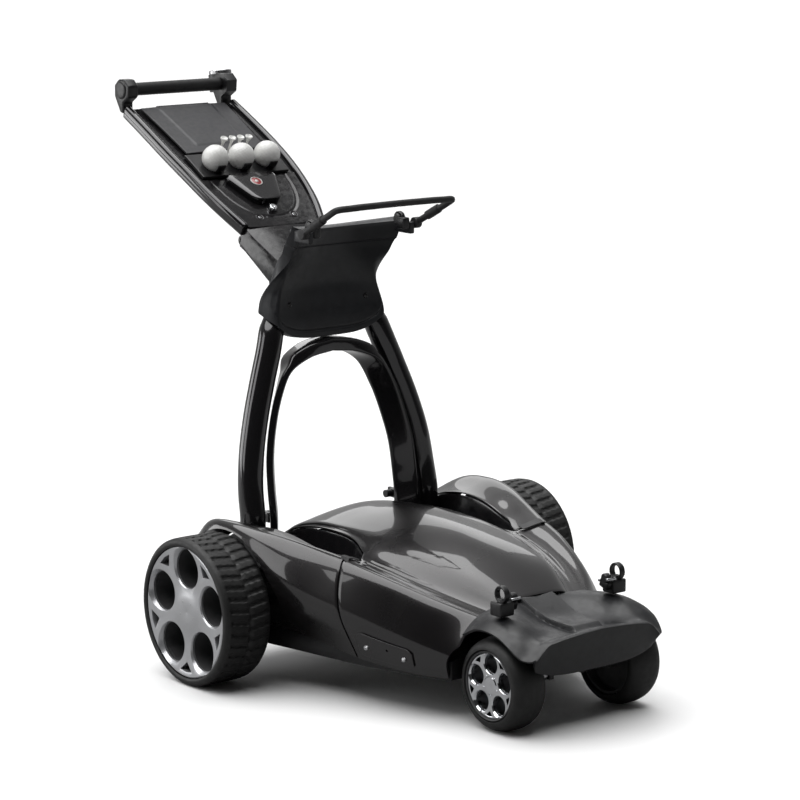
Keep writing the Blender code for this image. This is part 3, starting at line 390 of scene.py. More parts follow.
def smooth_path(points, steps):
    """Points evenly spaced along a smooth curve through the given ones."""
    points = np.array(points, dtype=float)
    lengths = np.concatenate(([0.0], np.cumsum(np.linalg.norm(np.diff(points, axis=0), axis=1))))
    along = np.linspace(0.0, lengths[-1], steps)
    return [Vector([through(lengths, points[:, k], a) for k in range(points.shape[1])]) for a in along]


def ease(value, start, end):
    """Smooth step from 0 at start to 1 at end."""
    t = min(1.0, max(0.0, (value - start) / (end - start)))
    return t * t * (3 - 2 * t)


def mirrored(point, side):
    return (point[0] * side, point[1], point[2])


def flipped(bm, side):
    """The shape itself on the left side, and its mirror image on the right."""
    if side < 0:
        bm.transform(Matrix.Diagonal((-1, 1, 1, 1)))
        bmesh.ops.reverse_faces(bm, faces=bm.faces)
    return bm


def rounded_section(width, depth, sides=24, power=2.0):
    """A superellipse; power 2 is an ellipse and more is squarer."""
    points = []
    for k in range(sides):
        angle = 2 * math.pi * k / sides
        c, s = math.cos(angle), math.sin(angle)
        points.append((math.copysign(abs(c) ** (2 / power), c) * width,
                       math.copysign(abs(s) ** (2 / power), s) * depth))
    return points


def screw(place, axis, radius, height):
    """A pan head with a cross slot."""
    place, axis = Vector(place), Vector(axis).normalized()
    head = turned([(0, ON_AXIS), (0, radius), (height * 0.55, radius), (height, radius * 0.6), (height, ON_AXIS)],
                  (0, 0, 0), 24)
    long, narrow = radius * 1.3, radius * 0.26
    slots = [box((height, 0, 0), (height, *size)) for size in ((long, narrow), (narrow, long))]
    head = cut(head, *slots)
    head.transform(Matrix.Translation(place) @ axis.to_track_quat("X", "Z").to_matrix().to_4x4())
    return head


# ---- bodywork -----------------------------------------------------------------------------
BODY_Y = (110, 60, 0, -60, -120, -183, -245, -300, -350, -400, -430)
BODY_LINES = (
    # crown
    ((0,) * 11, (172, 208, 232, 239, 240, 237, 228, 214, 194, 168, 150)),
    # shoulder of the central bulge
    ((84, 88, 90, 91, 90, 86, 82, 77, 67, 50, 40), (160, 196, 216, 222, 223, 221, 213, 202, 188, 165, 149)),
    # inner edge of the leg recess, then the valley
    ((104, 104, 108, 109, 113, 134, 126, 112, 93, 70, 56), (158, 190, 209, 215, 212, 199, 190, 179, 167, 152, 143)),
    # outer edge of the leg recess, then the far side of the valley
    ((192, 192, 190, 185, 176, 158, 150, 138, 118, 92, 76), (182, 207, 220, 219, 207, 199, 189, 177, 164, 149, 140)),
    # crest of the fender
    ((225, 246, 252, 243, 222, 203, 188, 168, 146, 115, 98), (196, 227, 235, 231, 222, 209, 195, 180, 164, 145, 136)),
    # widest line of the side
    ((262, 263, 262, 261, 252, 232, 212, 192, 172, 150, 140), (160, 185, 190, 186, 168, 150, 135, 122, 112, 102, 96)),
    # lower edge
    ((246, 246, 243, 236, 224, 212, 200, 182, 165, 142, 132), (118, 108, 100, 93, 89, 82, 72, 66, 64, 64, 64)),
)
RECESS_IN, RECESS_OUT, LOWER_EDGE = 2, 3, 6
FIN_LINES = ((2.10, 0.05, 0.0016), (2.55, 0.06, 0.0022))   # across, width, height


def body_line(index, y):
    xs, zs = BODY_LINES[index]
    return through(BODY_Y, xs, y * 1000) / 1000, through(BODY_Y, zs, y * 1000) / 1000


def body_point(across, y):
    """A point of the body's surface: across is 0 on the crown and 6 on the lower edge."""
    side = 1 if across >= 0 else -1
    lines = [body_line(k, y) for k in range(len(BODY_LINES))]
    ring = [(-lines[1][0], lines[1][1])] + lines
    indices = range(-1, len(lines))
    x = float(through(indices, [p[0] for p in ring], abs(across)))
    z = float(through(indices, [p[1] for p in ring], abs(across)))
    # two fine fins run forward from the tip of the recess and die out
    run = ease(y, -0.345, -0.250) * (1 - ease(y, -0.196, -0.184))
    for centre, width, height in FIN_LINES:
        z += height * run * math.exp(-((abs(across) - centre) / width) ** 2)
    return Vector((side * x, y, z))


def seam_y(across):
    """Where the joint between the bonnet and the fender crosses the body."""
    share = max(0.0, (abs(across) - RECESS_OUT) / (LOWER_EDGE - RECESS_OUT))
    return SEAM_TOP_Y + (SEAM_LOW_Y - SEAM_TOP_Y) * share


TIP = 2.68                       # where across the recess comes to its point


def nose_edge(across):
    """Rear edge of the bonnet's front part: it closes round the recess to a point."""
    across = abs(across)
    edge = seam_y(across) - SEAM / 2
    if 1.0 < across < TIP:
        rise = 1 - (across - RECESS_IN) / (TIP - RECESS_IN) if across > RECESS_IN else ease(across, 1.0, 2.0)
        edge += 0.018 * rise ** 1.4
    return edge


def fender_start(y):
    """The fender's inner edge closes in on the recess's point."""
    return RECESS_OUT - (RECESS_OUT - TIP) * ease(y, -0.135, -0.183) ** 1.5


def wheel_clearance(side):
    return cylinder((0.2445 * side, 0, REAR_WHEEL_R), (0.36 * side, 0, REAR_WHEEL_R), REAR_WHEEL_R + 0.0035, 128)


def front_arch(side):
    return cylinder((0.074 * side, FRONT_AXLE_Y, FRONT_WHEEL_R), (0.17 * side, FRONT_AXLE_Y, FRONT_WHEEL_R),
                    FRONT_WHEEL_R + 0.006, 96)


def make_fenders():
    for label, side in SIDES:
        rows = []
        for share in np.linspace(0, 1, 72):
            row = []
            for part in np.linspace(0, 1, 56):
                y = BODY_REAR_Y + (SEAM_TOP_Y + SEAM / 2 - BODY_REAR_Y) * share
                start = fender_start(y)
                c = start + (LOWER_EDGE - start) * part
                y = BODY_REAR_Y + (seam_y(c) + SEAM / 2 - BODY_REAR_Y) * share
                row.append(body_point(c * side, y))
            rows.append(row)
        shell = sheet(rows, SHELL, (side, 0, 1), 0.0008)
        hole = cylinder((0.20 * side, 0, REAR_WHEEL_R), (0.27 * side, 0, REAR_WHEEL_R), 0.0100, 32)
        piece(f"fender_shell_{label}", cut(shell, wheel_clearance(side), hole), LACQUER, "chassis",
              [f"fender_{label}"], 40)


def make_bonnet():
    columns = sorted({*np.linspace(-LOWER_EDGE, LOWER_EDGE, 145).round(4), TIP, -TIP})
    rear_strip = (BODY_REAR_Y - RECESS_REAR_Y) / (BODY_REAR_Y - SEAM_TOP_Y + SEAM / 2)
    back = [0.0, rear_strip * 0.5, *np.linspace(rear_strip, 1, 48)]
    front = np.linspace(0, 1, 44)[1:]
    rows = []
    for i in range(len(back) + len(front)):
        row = []
        for c in columns:
            edge = nose_edge(c)
            if i < len(back):
                y = BODY_REAR_Y + (edge - BODY_REAR_Y) * back[i]
            else:
                y = edge + (BODY_FRONT_Y - edge) * front[i - len(back)]
            point = body_point(c, y)
            if abs(abs(c) - RECESS_OUT) < 1e-3 and i < 3:
                point.x -= math.copysign(SEAM, c)
            row.append(point)
        rows.append(row)

    def skip(i, j):
        middle = abs(columns[j] + columns[j + 1]) / 2
        return i < len(back) - 1 and middle > (RECESS_OUT if i < 2 else RECESS_IN)

    shell = sheet(rows, SHELL, (0, 0, 1), 0.0008, skip)
    piece("bonnet_shell", cut(shell, front_arch(1), front_arch(-1)), LACQUER, "chassis", ["bonnet"], 40)


def make_seam_shade_strips():
    """Painted shade: dark strips behind the joints between bonnet and fenders, standing in for the shaded inside of the
    body seen through the gaps.
    """
    for label, side in SIDES:
        rows = []
        for c in np.linspace(3.02, 5.98, 50):
            inward = 0.0034
            row = []
            for shift in (-0.007, -0.0035, 0.0, 0.0035, 0.007):
                y = seam_y(c) + shift
                here = body_point(c * side, y)
                along = body_point((c + 0.05) * side, y) - body_point((c - 0.05) * side, y)
                normal = along.cross(Vector((0, 1, 0))).normalized()
                if normal.x * side < 0:
                    normal = -normal
                row.append(here - normal * inward)
            rows.append(row)
        # a dark sheet of painted shade behind the joint's gap, not a part of the trolley
        piece(f"seam_shade_strip_{label}", sheet(rows, 0.001, (side, 0, 0)), SATIN, "chassis")


def make_hinge_wells():
    for label, side in SIDES:
        rows = []
        for y in np.linspace(RECESS_REAR_Y, SEAM_TOP_Y + 0.006, 60):
            inner_x, inner_z = body_line(RECESS_IN, y)
            outer_x, outer_z = body_line(RECESS_OUT, y)
            low = WELL_FLOOR_Z + 0.012 * max(0.0, -y / 0.18)
            corners = [(inner_x + 0.0015, inner_z - 0.0040), (inner_x + 0.0025, (inner_z + low) / 2),
                       (inner_x + 0.006, low), ((inner_x + outer_x) / 2, low), (outer_x - 0.006, low),
                       (outer_x - 0.0025, (outer_z + low) / 2), (outer_x - 0.0015, outer_z - 0.0040)]
            distances = range(len(corners))
            rows.append([(side * float(through(distances, [p[0] for p in corners], t)), y,
                          float(through(distances, [p[1] for p in corners], t))) for t in np.linspace(0, 6, 31)])
        piece(f"recess_liner_{label}", sheet(rows, 0.0015, (0, 0, 1), 0.0005), GLOSS, "chassis",
              [f"hinge_well_{label}"])


def make_side_covers():
    """Thin plates low on the nose, each with two bright screws and a small drain hole."""
    for label, side in SIDES:
        rows = []
        for share in np.linspace(0, 1, 44):
            y = -0.252 - 0.088 * share
            inset = 0.10 * max(0.0, 1 - share / 0.12) ** 2 + 0.10 * max(0.0, 1 - (1 - share) / 0.12) ** 2
            columns = np.linspace(5.28 + inset, 5.86 - inset, 20)
            rows.append([body_point(c * side, y) + Vector((side * 0.0030, 0, -0.0003)) for c in columns])
        plate = sheet(rows, 0.002, (side, 0, 0), 0.0006)
        spots = [(y, 5.60) for y in (-0.266, -0.326)]
        trims = []
        for y, c in spots:
            here = body_point(c * side, y)
            trims.append(screw(here + Vector((side * 0.0032, 0, -0.0004)), (side, -0.2, 0.35), 0.0040, 0.0016))
        here = body_point(5.50 * side, -0.300)
        plate = cut(plate, cylinder(here - Vector((side * 0.01, 0, 0)), here + Vector((side * 0.01, 0, 0)), 0.0018, 24))
        piece(f"cover_plate_{label}", plate, LACQUER, "chassis", [f"side_cover_{label}"], 40)
        piece(f"cover_screws_{label}", together(*trims), STEEL, "chassis")


# ---- wheels -------------------------------------------------------------------------------
def lugged_tyre():
    """The left rear tyre: staggered bars across the tread, with a plain shoulder and wall."""
    inner, outer, r = REAR_TYRE_IN, REAR_TYRE_OUT, REAR_WHEEL_R
    depth, bars, steps = 0.0024, 40, 10
    ring = [(inner + 0.004, r - 0.026, 0), (inner, r - 0.026, 0), (inner + 0.001, r - 0.018, 0),
            (inner + 0.002, r - 0.012, 0), (inner + 0.006, r - 0.0065, 0), (inner + 0.010, r - 0.003, 0.3),
            (inner + 0.0135, r - 0.0012, 1)]
    ring += [(x, r - 0.0001 - 0.0010 * abs((x - inner - 0.05) / 0.045) ** 3, 1)
             for x in np.linspace(inner + 0.016, outer - 0.0135, 24)]
    ring += [(outer - 0.0115, r - 0.0003, 0.6), (outer - 0.009, r - 0.0004, 0), (outer - 0.004, r - 0.0014, 0),
             (outer - 0.0015, r - 0.004, 0), (outer, r - 0.0085, 0), (outer - 0.0006, REAR_RIM_R + 0.0022, 0),
             (outer - 0.0018, REAR_RIM_R + 0.0005, 0), (inner + 0.006, REAR_RIM_R + 0.0005, 0)]
    bm = bmesh.new()
    grid = []
    middle = (inner + outer) / 2
    for step in range(bars * steps):
        angle = 2 * math.pi * step / (bars * steps)
        row = []
        for x, radius, share in ring:
            phase = step / steps + (0.5 if x > middle else 0.0) + 0.35 * abs(x - middle) / 0.045
            wave = abs((phase % 1.0) - 0.5) * 2
            lug = ease(wave, 0.30, 0.46)
            lug *= ease(abs(x - middle), 0.0012, 0.0032)
            shown = radius - depth * share * (1 - lug)
            row.append(bm.verts.new((x, shown * math.cos(angle), REAR_WHEEL_R + shown * math.sin(angle))))
        grid.append(row)
    for near, far in zip(grid, grid[1:] + grid[:1]):
        for i in range(len(ring)):
            j = (i + 1) % len(ring)
            bm.faces.new((near[i], near[j], far[j], far[i]))
    return facing_out(bm)


def round_hub(hub, pitch, first_degrees):
    """The angle and the (y, z) place of each of the spokes' holes or nuts."""
    for k in range(SPOKES):
        angle = math.radians(first_degrees) + 2 * math.pi * k / SPOKES
        yield angle, hub[0] + pitch * math.cos(angle), hub[1] + pitch * math.sin(angle)


def alloy_disc(start, end, radius, hole_r, pitch, hub, crown, flare):
    """A wheel face with flared round holes and small three-cornered windows by the rim."""
    disc = turned([(start, ON_AXIS), (start, radius), (end - 0.0015, radius), (end, radius - 0.002),
                   (end - crown * 0.6, radius * 0.80), (end - crown, radius * 0.50), (end - crown, radius * 0.29),
                   (end - crown + 0.0012, radius * 0.26), (end - crown + 0.0012, ON_AXIS)], (0, *hub), 120)
    tools = []
    for angle, y, z in round_hub(hub, pitch, 90):
        tools.append(cylinder((start - 0.01, y, z), (end + 0.01, y, z), hole_r, 56))
        tools.append(cylinder((end - crown - flare, y, z), (end + 0.004, y, z), hole_r - 0.0005, 56,
                              hole_r + (flare + 0.004 + crown) * 0.62))
        middle = angle + math.pi / SPOKES
        outline = []
        for reach, swing in ((0.915, -0.165), (0.925, 0.0), (0.915, 0.165), (0.80, 0.045), (0.77, 0.0), (0.80, -0.045)):
            outline.append((hub[0] + radius * reach * math.cos(middle + swing),
                            hub[1] + radius * reach * math.sin(middle + swing)))
        tools.append(prism(outline, start - 0.01, end + 0.01))
    return bevelled(cut(disc, *tools), 0.0007 * radius / 0.09 + 0.0003, 3, 28)


def wheel_pins(x, hub, reach, radius, height):
    """Five small nuts round the middle of a wheel."""
    pins = []
    for _, y, z in round_hub(hub, reach, 54):
        pins.append(cylinder((x - 0.002, y, z), (x + height, y, z), radius, 6, bevel=radius * 0.15))
    return together(*pins)


def hole_cups(start, end, radius, pitch, hub, wall):
    """Short tubes that run in from the wheel's holes."""
    cups = []
    for _, y, z in round_hub(hub, pitch, 90):
        cups.append(turned([(start, radius), (end, radius), (end, radius - wall), (start, radius - wall * 1.6)],
                           (0, y, z), 56))
    return together(*cups)


def make_rear_wheels():
    hub = (0.0, REAR_WHEEL_R)
    inner, outer = REAR_TYRE_IN, REAR_TYRE_OUT
    for label, side in SIDES:
        body = f"rear_wheel_{label}"
        piece(f"rear_tread_{label}", flipped(lugged_tyre(), side), TYRE, body,
              [f"rear_tyre_{label}"], 38)
        rim = turned([(inner + 0.008, REAR_RIM_R), (outer - 0.017, REAR_RIM_R), (outer - 0.017, REAR_RIM_R - 0.0055),
                      (inner + 0.026, REAR_RIM_R - 0.006), (inner + 0.026, 0.018), (inner + 0.046, 0.017),
                      (inner + 0.046, 0.0079), (inner + 0.018, 0.0079), (inner + 0.018, 0.017), (inner + 0.020, 0.019),
                      (inner + 0.020, REAR_RIM_R - 0.006), (inner + 0.008, REAR_RIM_R - 0.006)], (0, *hub), 128)
        piece(f"rear_barrel_{label}", flipped(rim, side), DEEP, body, [f"rear_rim_{label}"])
        disc = alloy_disc(outer - 0.016, outer - 0.0025, REAR_RIM_R - 0.0003, REAR_HOLE_R, REAR_HOLE_PITCH, hub,
                          0.0050, 0.0030)
        piece(f"rear_disc_{label}", flipped(disc, side), SILVER, body, [f"rear_hubcap_{label}"], 30)
        cups = hole_cups(outer - 0.050, outer - 0.0130, REAR_HOLE_R + 0.0010, REAR_HOLE_PITCH, hub, 0.0012)
        piece(f"rear_cups_{label}", flipped(cups, side), DEEP, body)
        pins = wheel_pins(outer - 0.0072, hub, 0.0175, 0.0017, 0.0010)
        piece(f"rear_pins_{label}", flipped(pins, side), STEEL, body)


def make_front_wheels():
    hub = (FRONT_AXLE_Y, FRONT_WHEEL_R)
    inner, outer, r = FRONT_TYRE_IN, FRONT_TYRE_OUT, FRONT_WHEEL_R
    middle, half = (inner + outer) / 2, (outer - inner) / 2
    profile = [(outer - 0.0045, FRONT_RIM_R + 0.0005)]
    for k in range(33):
        angle = math.pi * k / 32
        profile.append((middle + half * math.copysign(abs(math.cos(angle)) ** 0.86, math.cos(angle)),
                        FRONT_RIM_R + 0.002 + (r - FRONT_RIM_R - 0.002) * math.sin(angle) ** 0.9))
    profile.append((inner + 0.0045, FRONT_RIM_R + 0.0005))
    for label, side in SIDES:
        body = f"front_wheel_{label}"
        piece(f"front_balloon_{label}", flipped(turned(profile, (0, *hub), 128), side), TYRE, body,
              [f"front_tyre_{label}"], 40)
        barrel = turned([(inner + 0.004, FRONT_RIM_R), (outer - 0.0022, FRONT_RIM_R),
                         (outer - 0.0012, FRONT_RIM_R - 0.001),
                         (outer - 0.0020, FRONT_RIM_R - 0.0025), (inner + 0.040, FRONT_RIM_R - 0.004),
                         (inner + 0.022, FRONT_RIM_R - 0.0042), (inner + 0.022, 0.0135), (outer - 0.014, 0.0125),
                         (outer - 0.014, 0.0064), (inner + 0.004, 0.0064), (inner + 0.004, 0.0125),
                         (inner + 0.018, 0.0135),
                         (inner + 0.018, FRONT_RIM_R - 0.0042), (inner + 0.004, FRONT_RIM_R - 0.004)], (0, *hub), 96)
        piece(f"front_barrel_{label}", flipped(barrel, side), DEEP, body)
        disc = alloy_disc(outer - 0.0125, outer - 0.0030, FRONT_RIM_R - 0.0026, FRONT_HOLE_R, FRONT_HOLE_PITCH, hub,
                          0.0024, 0.0020)
        piece(f"front_disc_{label}", flipped(disc, side), CHROME, body, [f"front_wheel_{label}"], 30)
        cups = hole_cups(outer - 0.028, outer - 0.0100, FRONT_HOLE_R + 0.0007, FRONT_HOLE_PITCH, hub, 0.0008)
        piece(f"front_cups_{label}", flipped(cups, side), CHROME, body)
        pins = wheel_pins(outer - 0.0055, hub, 0.0150, 0.0013, 0.0012)
        piece(f"front_pins_{label}", flipped(pins, side), CHROME, body)


# ---- front bag rest -----------------------------------------------------------------------
REST_X = (0, 35, 70, 100, 122, 139)
REST_Y = (-404, -430, -457, -485, -512, -541)
REST_Z = (
    (157, 160, 161, 157, 146, 131),
    (149, 151, 160, 161, 154, 144),
    (140, 143, 155, 161, 156, 147),
    (137, 140, 147, 154, 151, 142),
    (140, 139, 139, 141, 139, 130),
    (147, 145, 141, 135, 129, 122),
)


def rest_height(x, y):
    columns = [float(through(REST_X, row, abs(x) * 1000)) for row in REST_Z]
    return float(through(REST_Y, columns, y * 1000)) / 1000


def rest_surface(x, y):
    """The rest's top with its raised centre pad and the bead along its front lip."""
    z = rest_height(x, y)
    pad_half = 0.030 - 0.004 * ease(y, -0.42, -0.50)
    pad = (1 - ease(abs(x), pad_half - 0.0010, pad_half + 0.0010)) * ease(y, -0.5210, -0.5060)
    bead = ease(y, -0.5230, -0.5310)
    droop = 0.017 * ease(abs(x), 0.092, 0.124) * ease(y, -0.500, -0.540)
    return z + 0.0075 * pad + 0.0016 * bead - droop


def make_bag_rest():
    columns = sorted({*np.linspace(-0.139, 0.139, 96).round(5), *(s * (0.030 + d) for s in (-1, 1)
                      for d in (-0.005, -0.004, -0.003, -0.002, -0.001, 0.0, 0.001, 0.002))})
    rows = []
    for y in np.linspace(-0.404, -0.5370, 64):
        narrow = 1 - 0.19 * (1 - math.sqrt(1 - min(1.0, max(0.0, (-0.497 - y) / 0.0405)) ** 2))
        rows.append([(x * narrow, y, rest_surface(x * narrow, y)) for x in columns])
    for share in np.linspace(0.0, 1.0, 22):
        row = []
        for x in columns:
            x *= narrow * (1 - 0.06 * share ** 2)
            low_z = 0.086 + 0.012 * (abs(x) / 0.110) ** 4
            y = BAG_REST_FRONT_Y + 0.0005 + 0.012 * share + 0.006 * (abs(x) / 0.139) ** 2
            top = rest_surface(x, -0.537) - 0.0015
            row.append((x, y, top * (1 - share) + low_z * share))
        rows.append(row)
    shell = sheet(rows, 0.0035, (0, -0.3, 1), 0.0008)
    piece("rest_shell", cut(shell, front_arch(1), front_arch(-1)), REST, "chassis", ["bag_rest"], 42)
    brackets = [box((0.034 * s, -0.486, 0.109), (0.008, 0.020, 0.058), 0.0, 0.0010) for s in (1, -1)]
    piece("rest_brackets", together(*brackets), SATIN, "chassis")


def make_lower_clips():
    for label, side in SIDES:
        base_z = rest_height(0.109, -0.457) + 0.0006
        block = box((0.106, -0.452, base_z + 0.0135), (0.026, 0.024, 0.020), 0.0, 0.0025, 3)
        cheek = box((0.108, -0.454, base_z + 0.022), (0.009, 0.012, 0.014), 0.0, 0.0015)
        ring = turned([(0.104, 0.0118), (0.1050, 0.0125), (0.1120, 0.0125), (0.113, 0.0118), (0.113, 0.0100),
                       (0.1120, 0.0092), (0.1050, 0.0092), (0.104, 0.0100)], (0, -0.455, base_z + 0.0345), 48)
        cam = box((0.090, -0.452, base_z + 0.0175), (0.012, 0.018, 0.012), 0.3, 0.0025, 3)
        knob = turned([(0.0835, ON_AXIS), (0.0835, 0.0060), (0.0850, 0.0075), (0.0915, 0.0075), (0.093, 0.0060),
                       (0.093, ON_AXIS)], (0, -0.454, base_z + 0.0265), 36)
        clip = together(block, cheek, ring, cam, knob)
        piece(f"strap_clip_{label}", flipped(clip, side), SATIN, "chassis", [f"lower_clip_{label}"], 34)
        studs = []
        for back in (0.0, 0.017):
            y, z = -0.4625 + back, base_z + 0.0265 - back * 0.2
            studs.append(cylinder((0.0815, y, z), (0.0985, y, z), 0.0022, 24, bevel=0.0006))
        piece(f"clip_studs_{label}", flipped(together(*studs), side), CHROME, "chassis")


# ---- folding frame ------------------------------------------------------------------------
LEG_PATH = ((0.168, 0.062, 0.170), (0.168, 0.059, 0.215), (0.166, 0.067, 0.262), (0.160, 0.073, 0.310),
            (0.144, 0.082, 0.371), (0.126, 0.090, 0.421), (0.107, 0.098, 0.471), (0.094, 0.107, 0.510),
            (0.086, 0.116, 0.545))
BLADE_PATH = ((0.129, 0.060, 0.168), (0.129, 0.058, 0.212), (0.129, 0.064, 0.256), (0.126, 0.071, 0.305),
              (0.116, 0.078, 0.350), (0.100, 0.084, 0.396), (0.078, 0.090, 0.434), (0.042, 0.094, 0.454),
              (0.000, 0.096, 0.461))
BLADE_TOE = math.radians(38)
LOCK_Y, LOCK_Z = 0.092, 0.212


LEG_NECK_Z, LEG_NECK_LENGTH = 0.492, 0.035   # the legs' ends narrow behind the saddle's corners


def make_legs():
    for label, side in SIDES:
        path = [Vector(mirrored(p, side)) for p in smooth_path(LEG_PATH, 64)]
        tube = swept(path, rounded_section(LEG_R, LEG_R, 40), (1, 0, 0))
        for vert in tube.verts:
            if vert.co.z > LEG_NECK_Z:
                middle = min(path, key=lambda p: abs(p.z - vert.co.z))
                vert.co = middle + (vert.co - middle) * (1 - 0.42 * ease(vert.co.z, LEG_NECK_Z,
                                                                    LEG_NECK_Z + LEG_NECK_LENGTH))
        piece(f"leg_tube_{label}", bevelled(tube, 0.002, 3, 60), FRAME_LACQUER, "frame",
              [f"leg_{label}"], 50)


def make_arch():
    half = smooth_path(BLADE_PATH, 60)
    path = [Vector(mirrored(p, -1)) for p in half] + half[-2::-1]
    rings = []
    for i, place in enumerate(path):
        side = 1 if place.x >= 0 else -1
        toe = BLADE_TOE * min(1.0, abs(place.x) / 0.10)
        across = Vector((-side * math.sin(toe), math.cos(toe), 0))
        web = 0.0060 + 0.0095 * (1 - ease(abs(place.x), 0.066, 0.082))
        first, second = axes_at(path, i, across)
        ring = []
        for a, b in rounded_section(0.0200, 1.0, 40, 5.0):
            ring.append(place + first * a + second * (b * (web if b > 0 else 0.0060)))
        rings.append(ring)
    blade = bevelled(loft(rings), 0.001, 2, 60)
    lugs = [box((0.1285 * s, LOCK_Y - 0.006, LOCK_Z), (0.006, 0.034, 0.016), 0.0, 0.0015) for s in (1, -1)]
    piece("arch_blade", together(blade, *lugs), FRAME_LACQUER, "frame", ["arch"], 50)


CRADLE = ((476, 110, 88, 73), (490, 114, 89, 74), (508, 118, 91, 76), (522, 117, 94, 79), (540, 112, 97, 82),
          (560, 105, 100, 82), (585, 98, 97, 74), (610, 95, 92, 56), (635, 97, 86, 41), (655, 92, 80, 33))
CRADLE_LOW, CRADLE_TOP = 0.478, 0.655


def cradle_front(across, z):
    """A point of the saddle's face, with the half width there; across runs from -1 to 1."""
    heights = [row[0] for row in CRADLE]
    width, middle, edge = [float(through(heights, [row[k] for row in CRADLE], z * 1000)) / 1000 for k in (1, 2, 3)]
    drop = 0.008 * (1 - abs(across) ** 2) if z > 0.64 else 0.008 * (1 - abs(across) ** 2) * ease(z, 0.60, 0.64)
    wrap = 0.040 * ease(abs(across), 0.84, 1.06) * (1 - ease(z, 0.535, 0.610))
    return Vector((across * width, middle + (edge - middle) * abs(across) ** 2.2 + wrap, z - drop)), width


def make_cradle():
    """The upper bag saddle: a raised band along the top, and a groove inside its lower edge."""
    rows = []
    for share in np.linspace(0, 1, 110):
        row = []
        for a in np.linspace(-1, 1, 120):
            low = CRADLE_LOW + 0.044 * abs(a) ** 4
            z = low + (CRADLE_TOP - low) * share
            point, width = cradle_front(a, z)
            band = 0.0026 * ease(z, 0.6235, 0.6265) * (1 - ease(z, 0.6500, 0.6550) * 0.4)
            side_gap = (1 - abs(a)) * width
            low_gap = math.hypot(max(0.0, 0.030 - side_gap), max(0.0, 0.030 - (z - low)))
            edge = 0.030 - low_gap
            groove = 0.0018 * math.exp(-((edge - 0.011) / 0.0014) ** 2) * (1 - ease(z, 0.560, 0.585))
            point.y -= band - groove
            row.append(point)
        rows.append(row)
    saddle = sheet(rows, 0.016, (0, -1, 0), 0.0022)
    lugs = [box((0.096 * s, 0.028, 0.646), (0.009, 0.050, 0.018), 0.0, 0.002, 3) for s in (1, -1)]
    piece("cradle_saddle", together(saddle, *lugs), MATT, "frame", ["cradle"], 42)
    screws = []
    for x in (-0.065, 0.065):
        point, _ = cradle_front(x / 0.101, 0.533)
        screws.append(screw(point + Vector((0, 0.0008, 0)), (0, -1, 0), 0.0042, 0.0022))
    piece("cradle_screws", together(*screws), GLOSS, "frame")


def make_neck():
    piece("neck_casting", from_node("neck_bracket", 0.0022, 3, 32), GLOSS, "frame",
          ["neck_bracket"], 40)


def make_bail():
    corner = (0.110, BAIL_FRONT_Y, BAIL_FRONT_Z)
    half = [(BAIL_X + 0.0035, BAIL_Y, BAIL_Z), (0.109, -0.030, 0.6725), (0.111, -0.060, 0.688), corner,
            (0.085, BAIL_FRONT_Y - 0.004, BAIL_FRONT_Z + 0.002), (0.040, BAIL_FRONT_Y - 0.006, BAIL_FRONT_Z + 0.003)]
    points = half + [mirrored(p, -1) for p in reversed(half)]
    path = smooth_path(points, 150)
    loop = swept(path, rounded_section(0.0050, 0.0050, 20), (0, -0.46, 0.89))
    eyes = [cylinder((0.1018 * s, BAIL_Y, BAIL_Z), (0.1130 * s, BAIL_Y, BAIL_Z), 0.0085, 48, bevel=0.0012)
            for s in (1, -1)]
    pins = [cylinder((0.0935 * s, BAIL_Y, BAIL_Z), (0.1025 * s, BAIL_Y, BAIL_Z), 0.0028, 24) for s in (1, -1)]
    sleeves = []
    for s in (1, -1):
        start, end = Vector((0.1085 * s, -0.018, 0.6665)), Vector((0.1098 * s, -0.044, 0.6800))
        sleeves.append(cylinder(start, end, 0.0070, 32, bevel=0.0012))
    piece("bail_loop", together(loop, *eyes, *pins, *sleeves), SOFT, "strap_bail", ["strap_bail"], 40)
    for label, side in SIDES:
        knob = box((0.0845 * side, BAIL_Y + 0.004, BAIL_Z + 0.001), (0.013, 0.020, 0.018), 0.0, 0.003, 3)
        wheel = turned([(-0.0055, ON_AXIS), (-0.0055, 0.0070), (-0.0040, 0.0085), (0.0040, 0.0085), (0.0055, 0.0070),
                        (0.0055, ON_AXIS)], (0.0845 * side, BAIL_Y + 0.0135, BAIL_Z + 0.0065), 30)
        curl = [Vector((0.0845 * side, BAIL_Y + 0.012 + 0.010 * math.cos(a), BAIL_Z + 0.008 + 0.009 * math.sin(a)))
                for a in np.linspace(-0.6, 3.2, 22)]
        hook = swept(curl, rounded_section(0.0030, 0.0014, 14, 3.0), (1, 0, 0))
        piece(f"bail_knob_{label}", together(knob, wheel, hook), SATIN, "frame",
              [f"bail_clamp_{label}"], 34)


# ---- handle -------------------------------------------------------------------------------
HANDLE = ((200, 641, 72), (231, 664, 84), (272, 691, 94), (317, 719, 100), (369, 748, 103), (426, 778, 103),
          (488, 809, 102))


def handle_line(y):
    stations = [row[0] for row in HANDLE]
    return [float(through(stations, [row[k] for row in HANDLE], y * 1000)) / 1000 for k in (1, 2)]


def handle_slope(y):
    return math.atan2(handle_line(y + 0.004)[0] - handle_line(y - 0.004)[0], 0.008)


def on_handle(x, y, up=0.0):
    slope = handle_slope(y)
    return Vector((x, y - up * math.sin(slope), handle_line(y)[0] + up * math.cos(slope)))


def handle_up(y):
    slope = handle_slope(y)
    return Vector((0, -math.sin(slope), math.cos(slope)))


def ball_seats():
    seats = []
    for x in (-0.050, 0, 0.050):
        bm = bmesh.new()
        bmesh.ops.create_icosphere(bm, subdivisions=4, radius=0.02260)
        bm.transform(Matrix.Translation(on_handle(x, 0.324, 0.0145)))
        seats.append(facing_out(bm))
    return seats


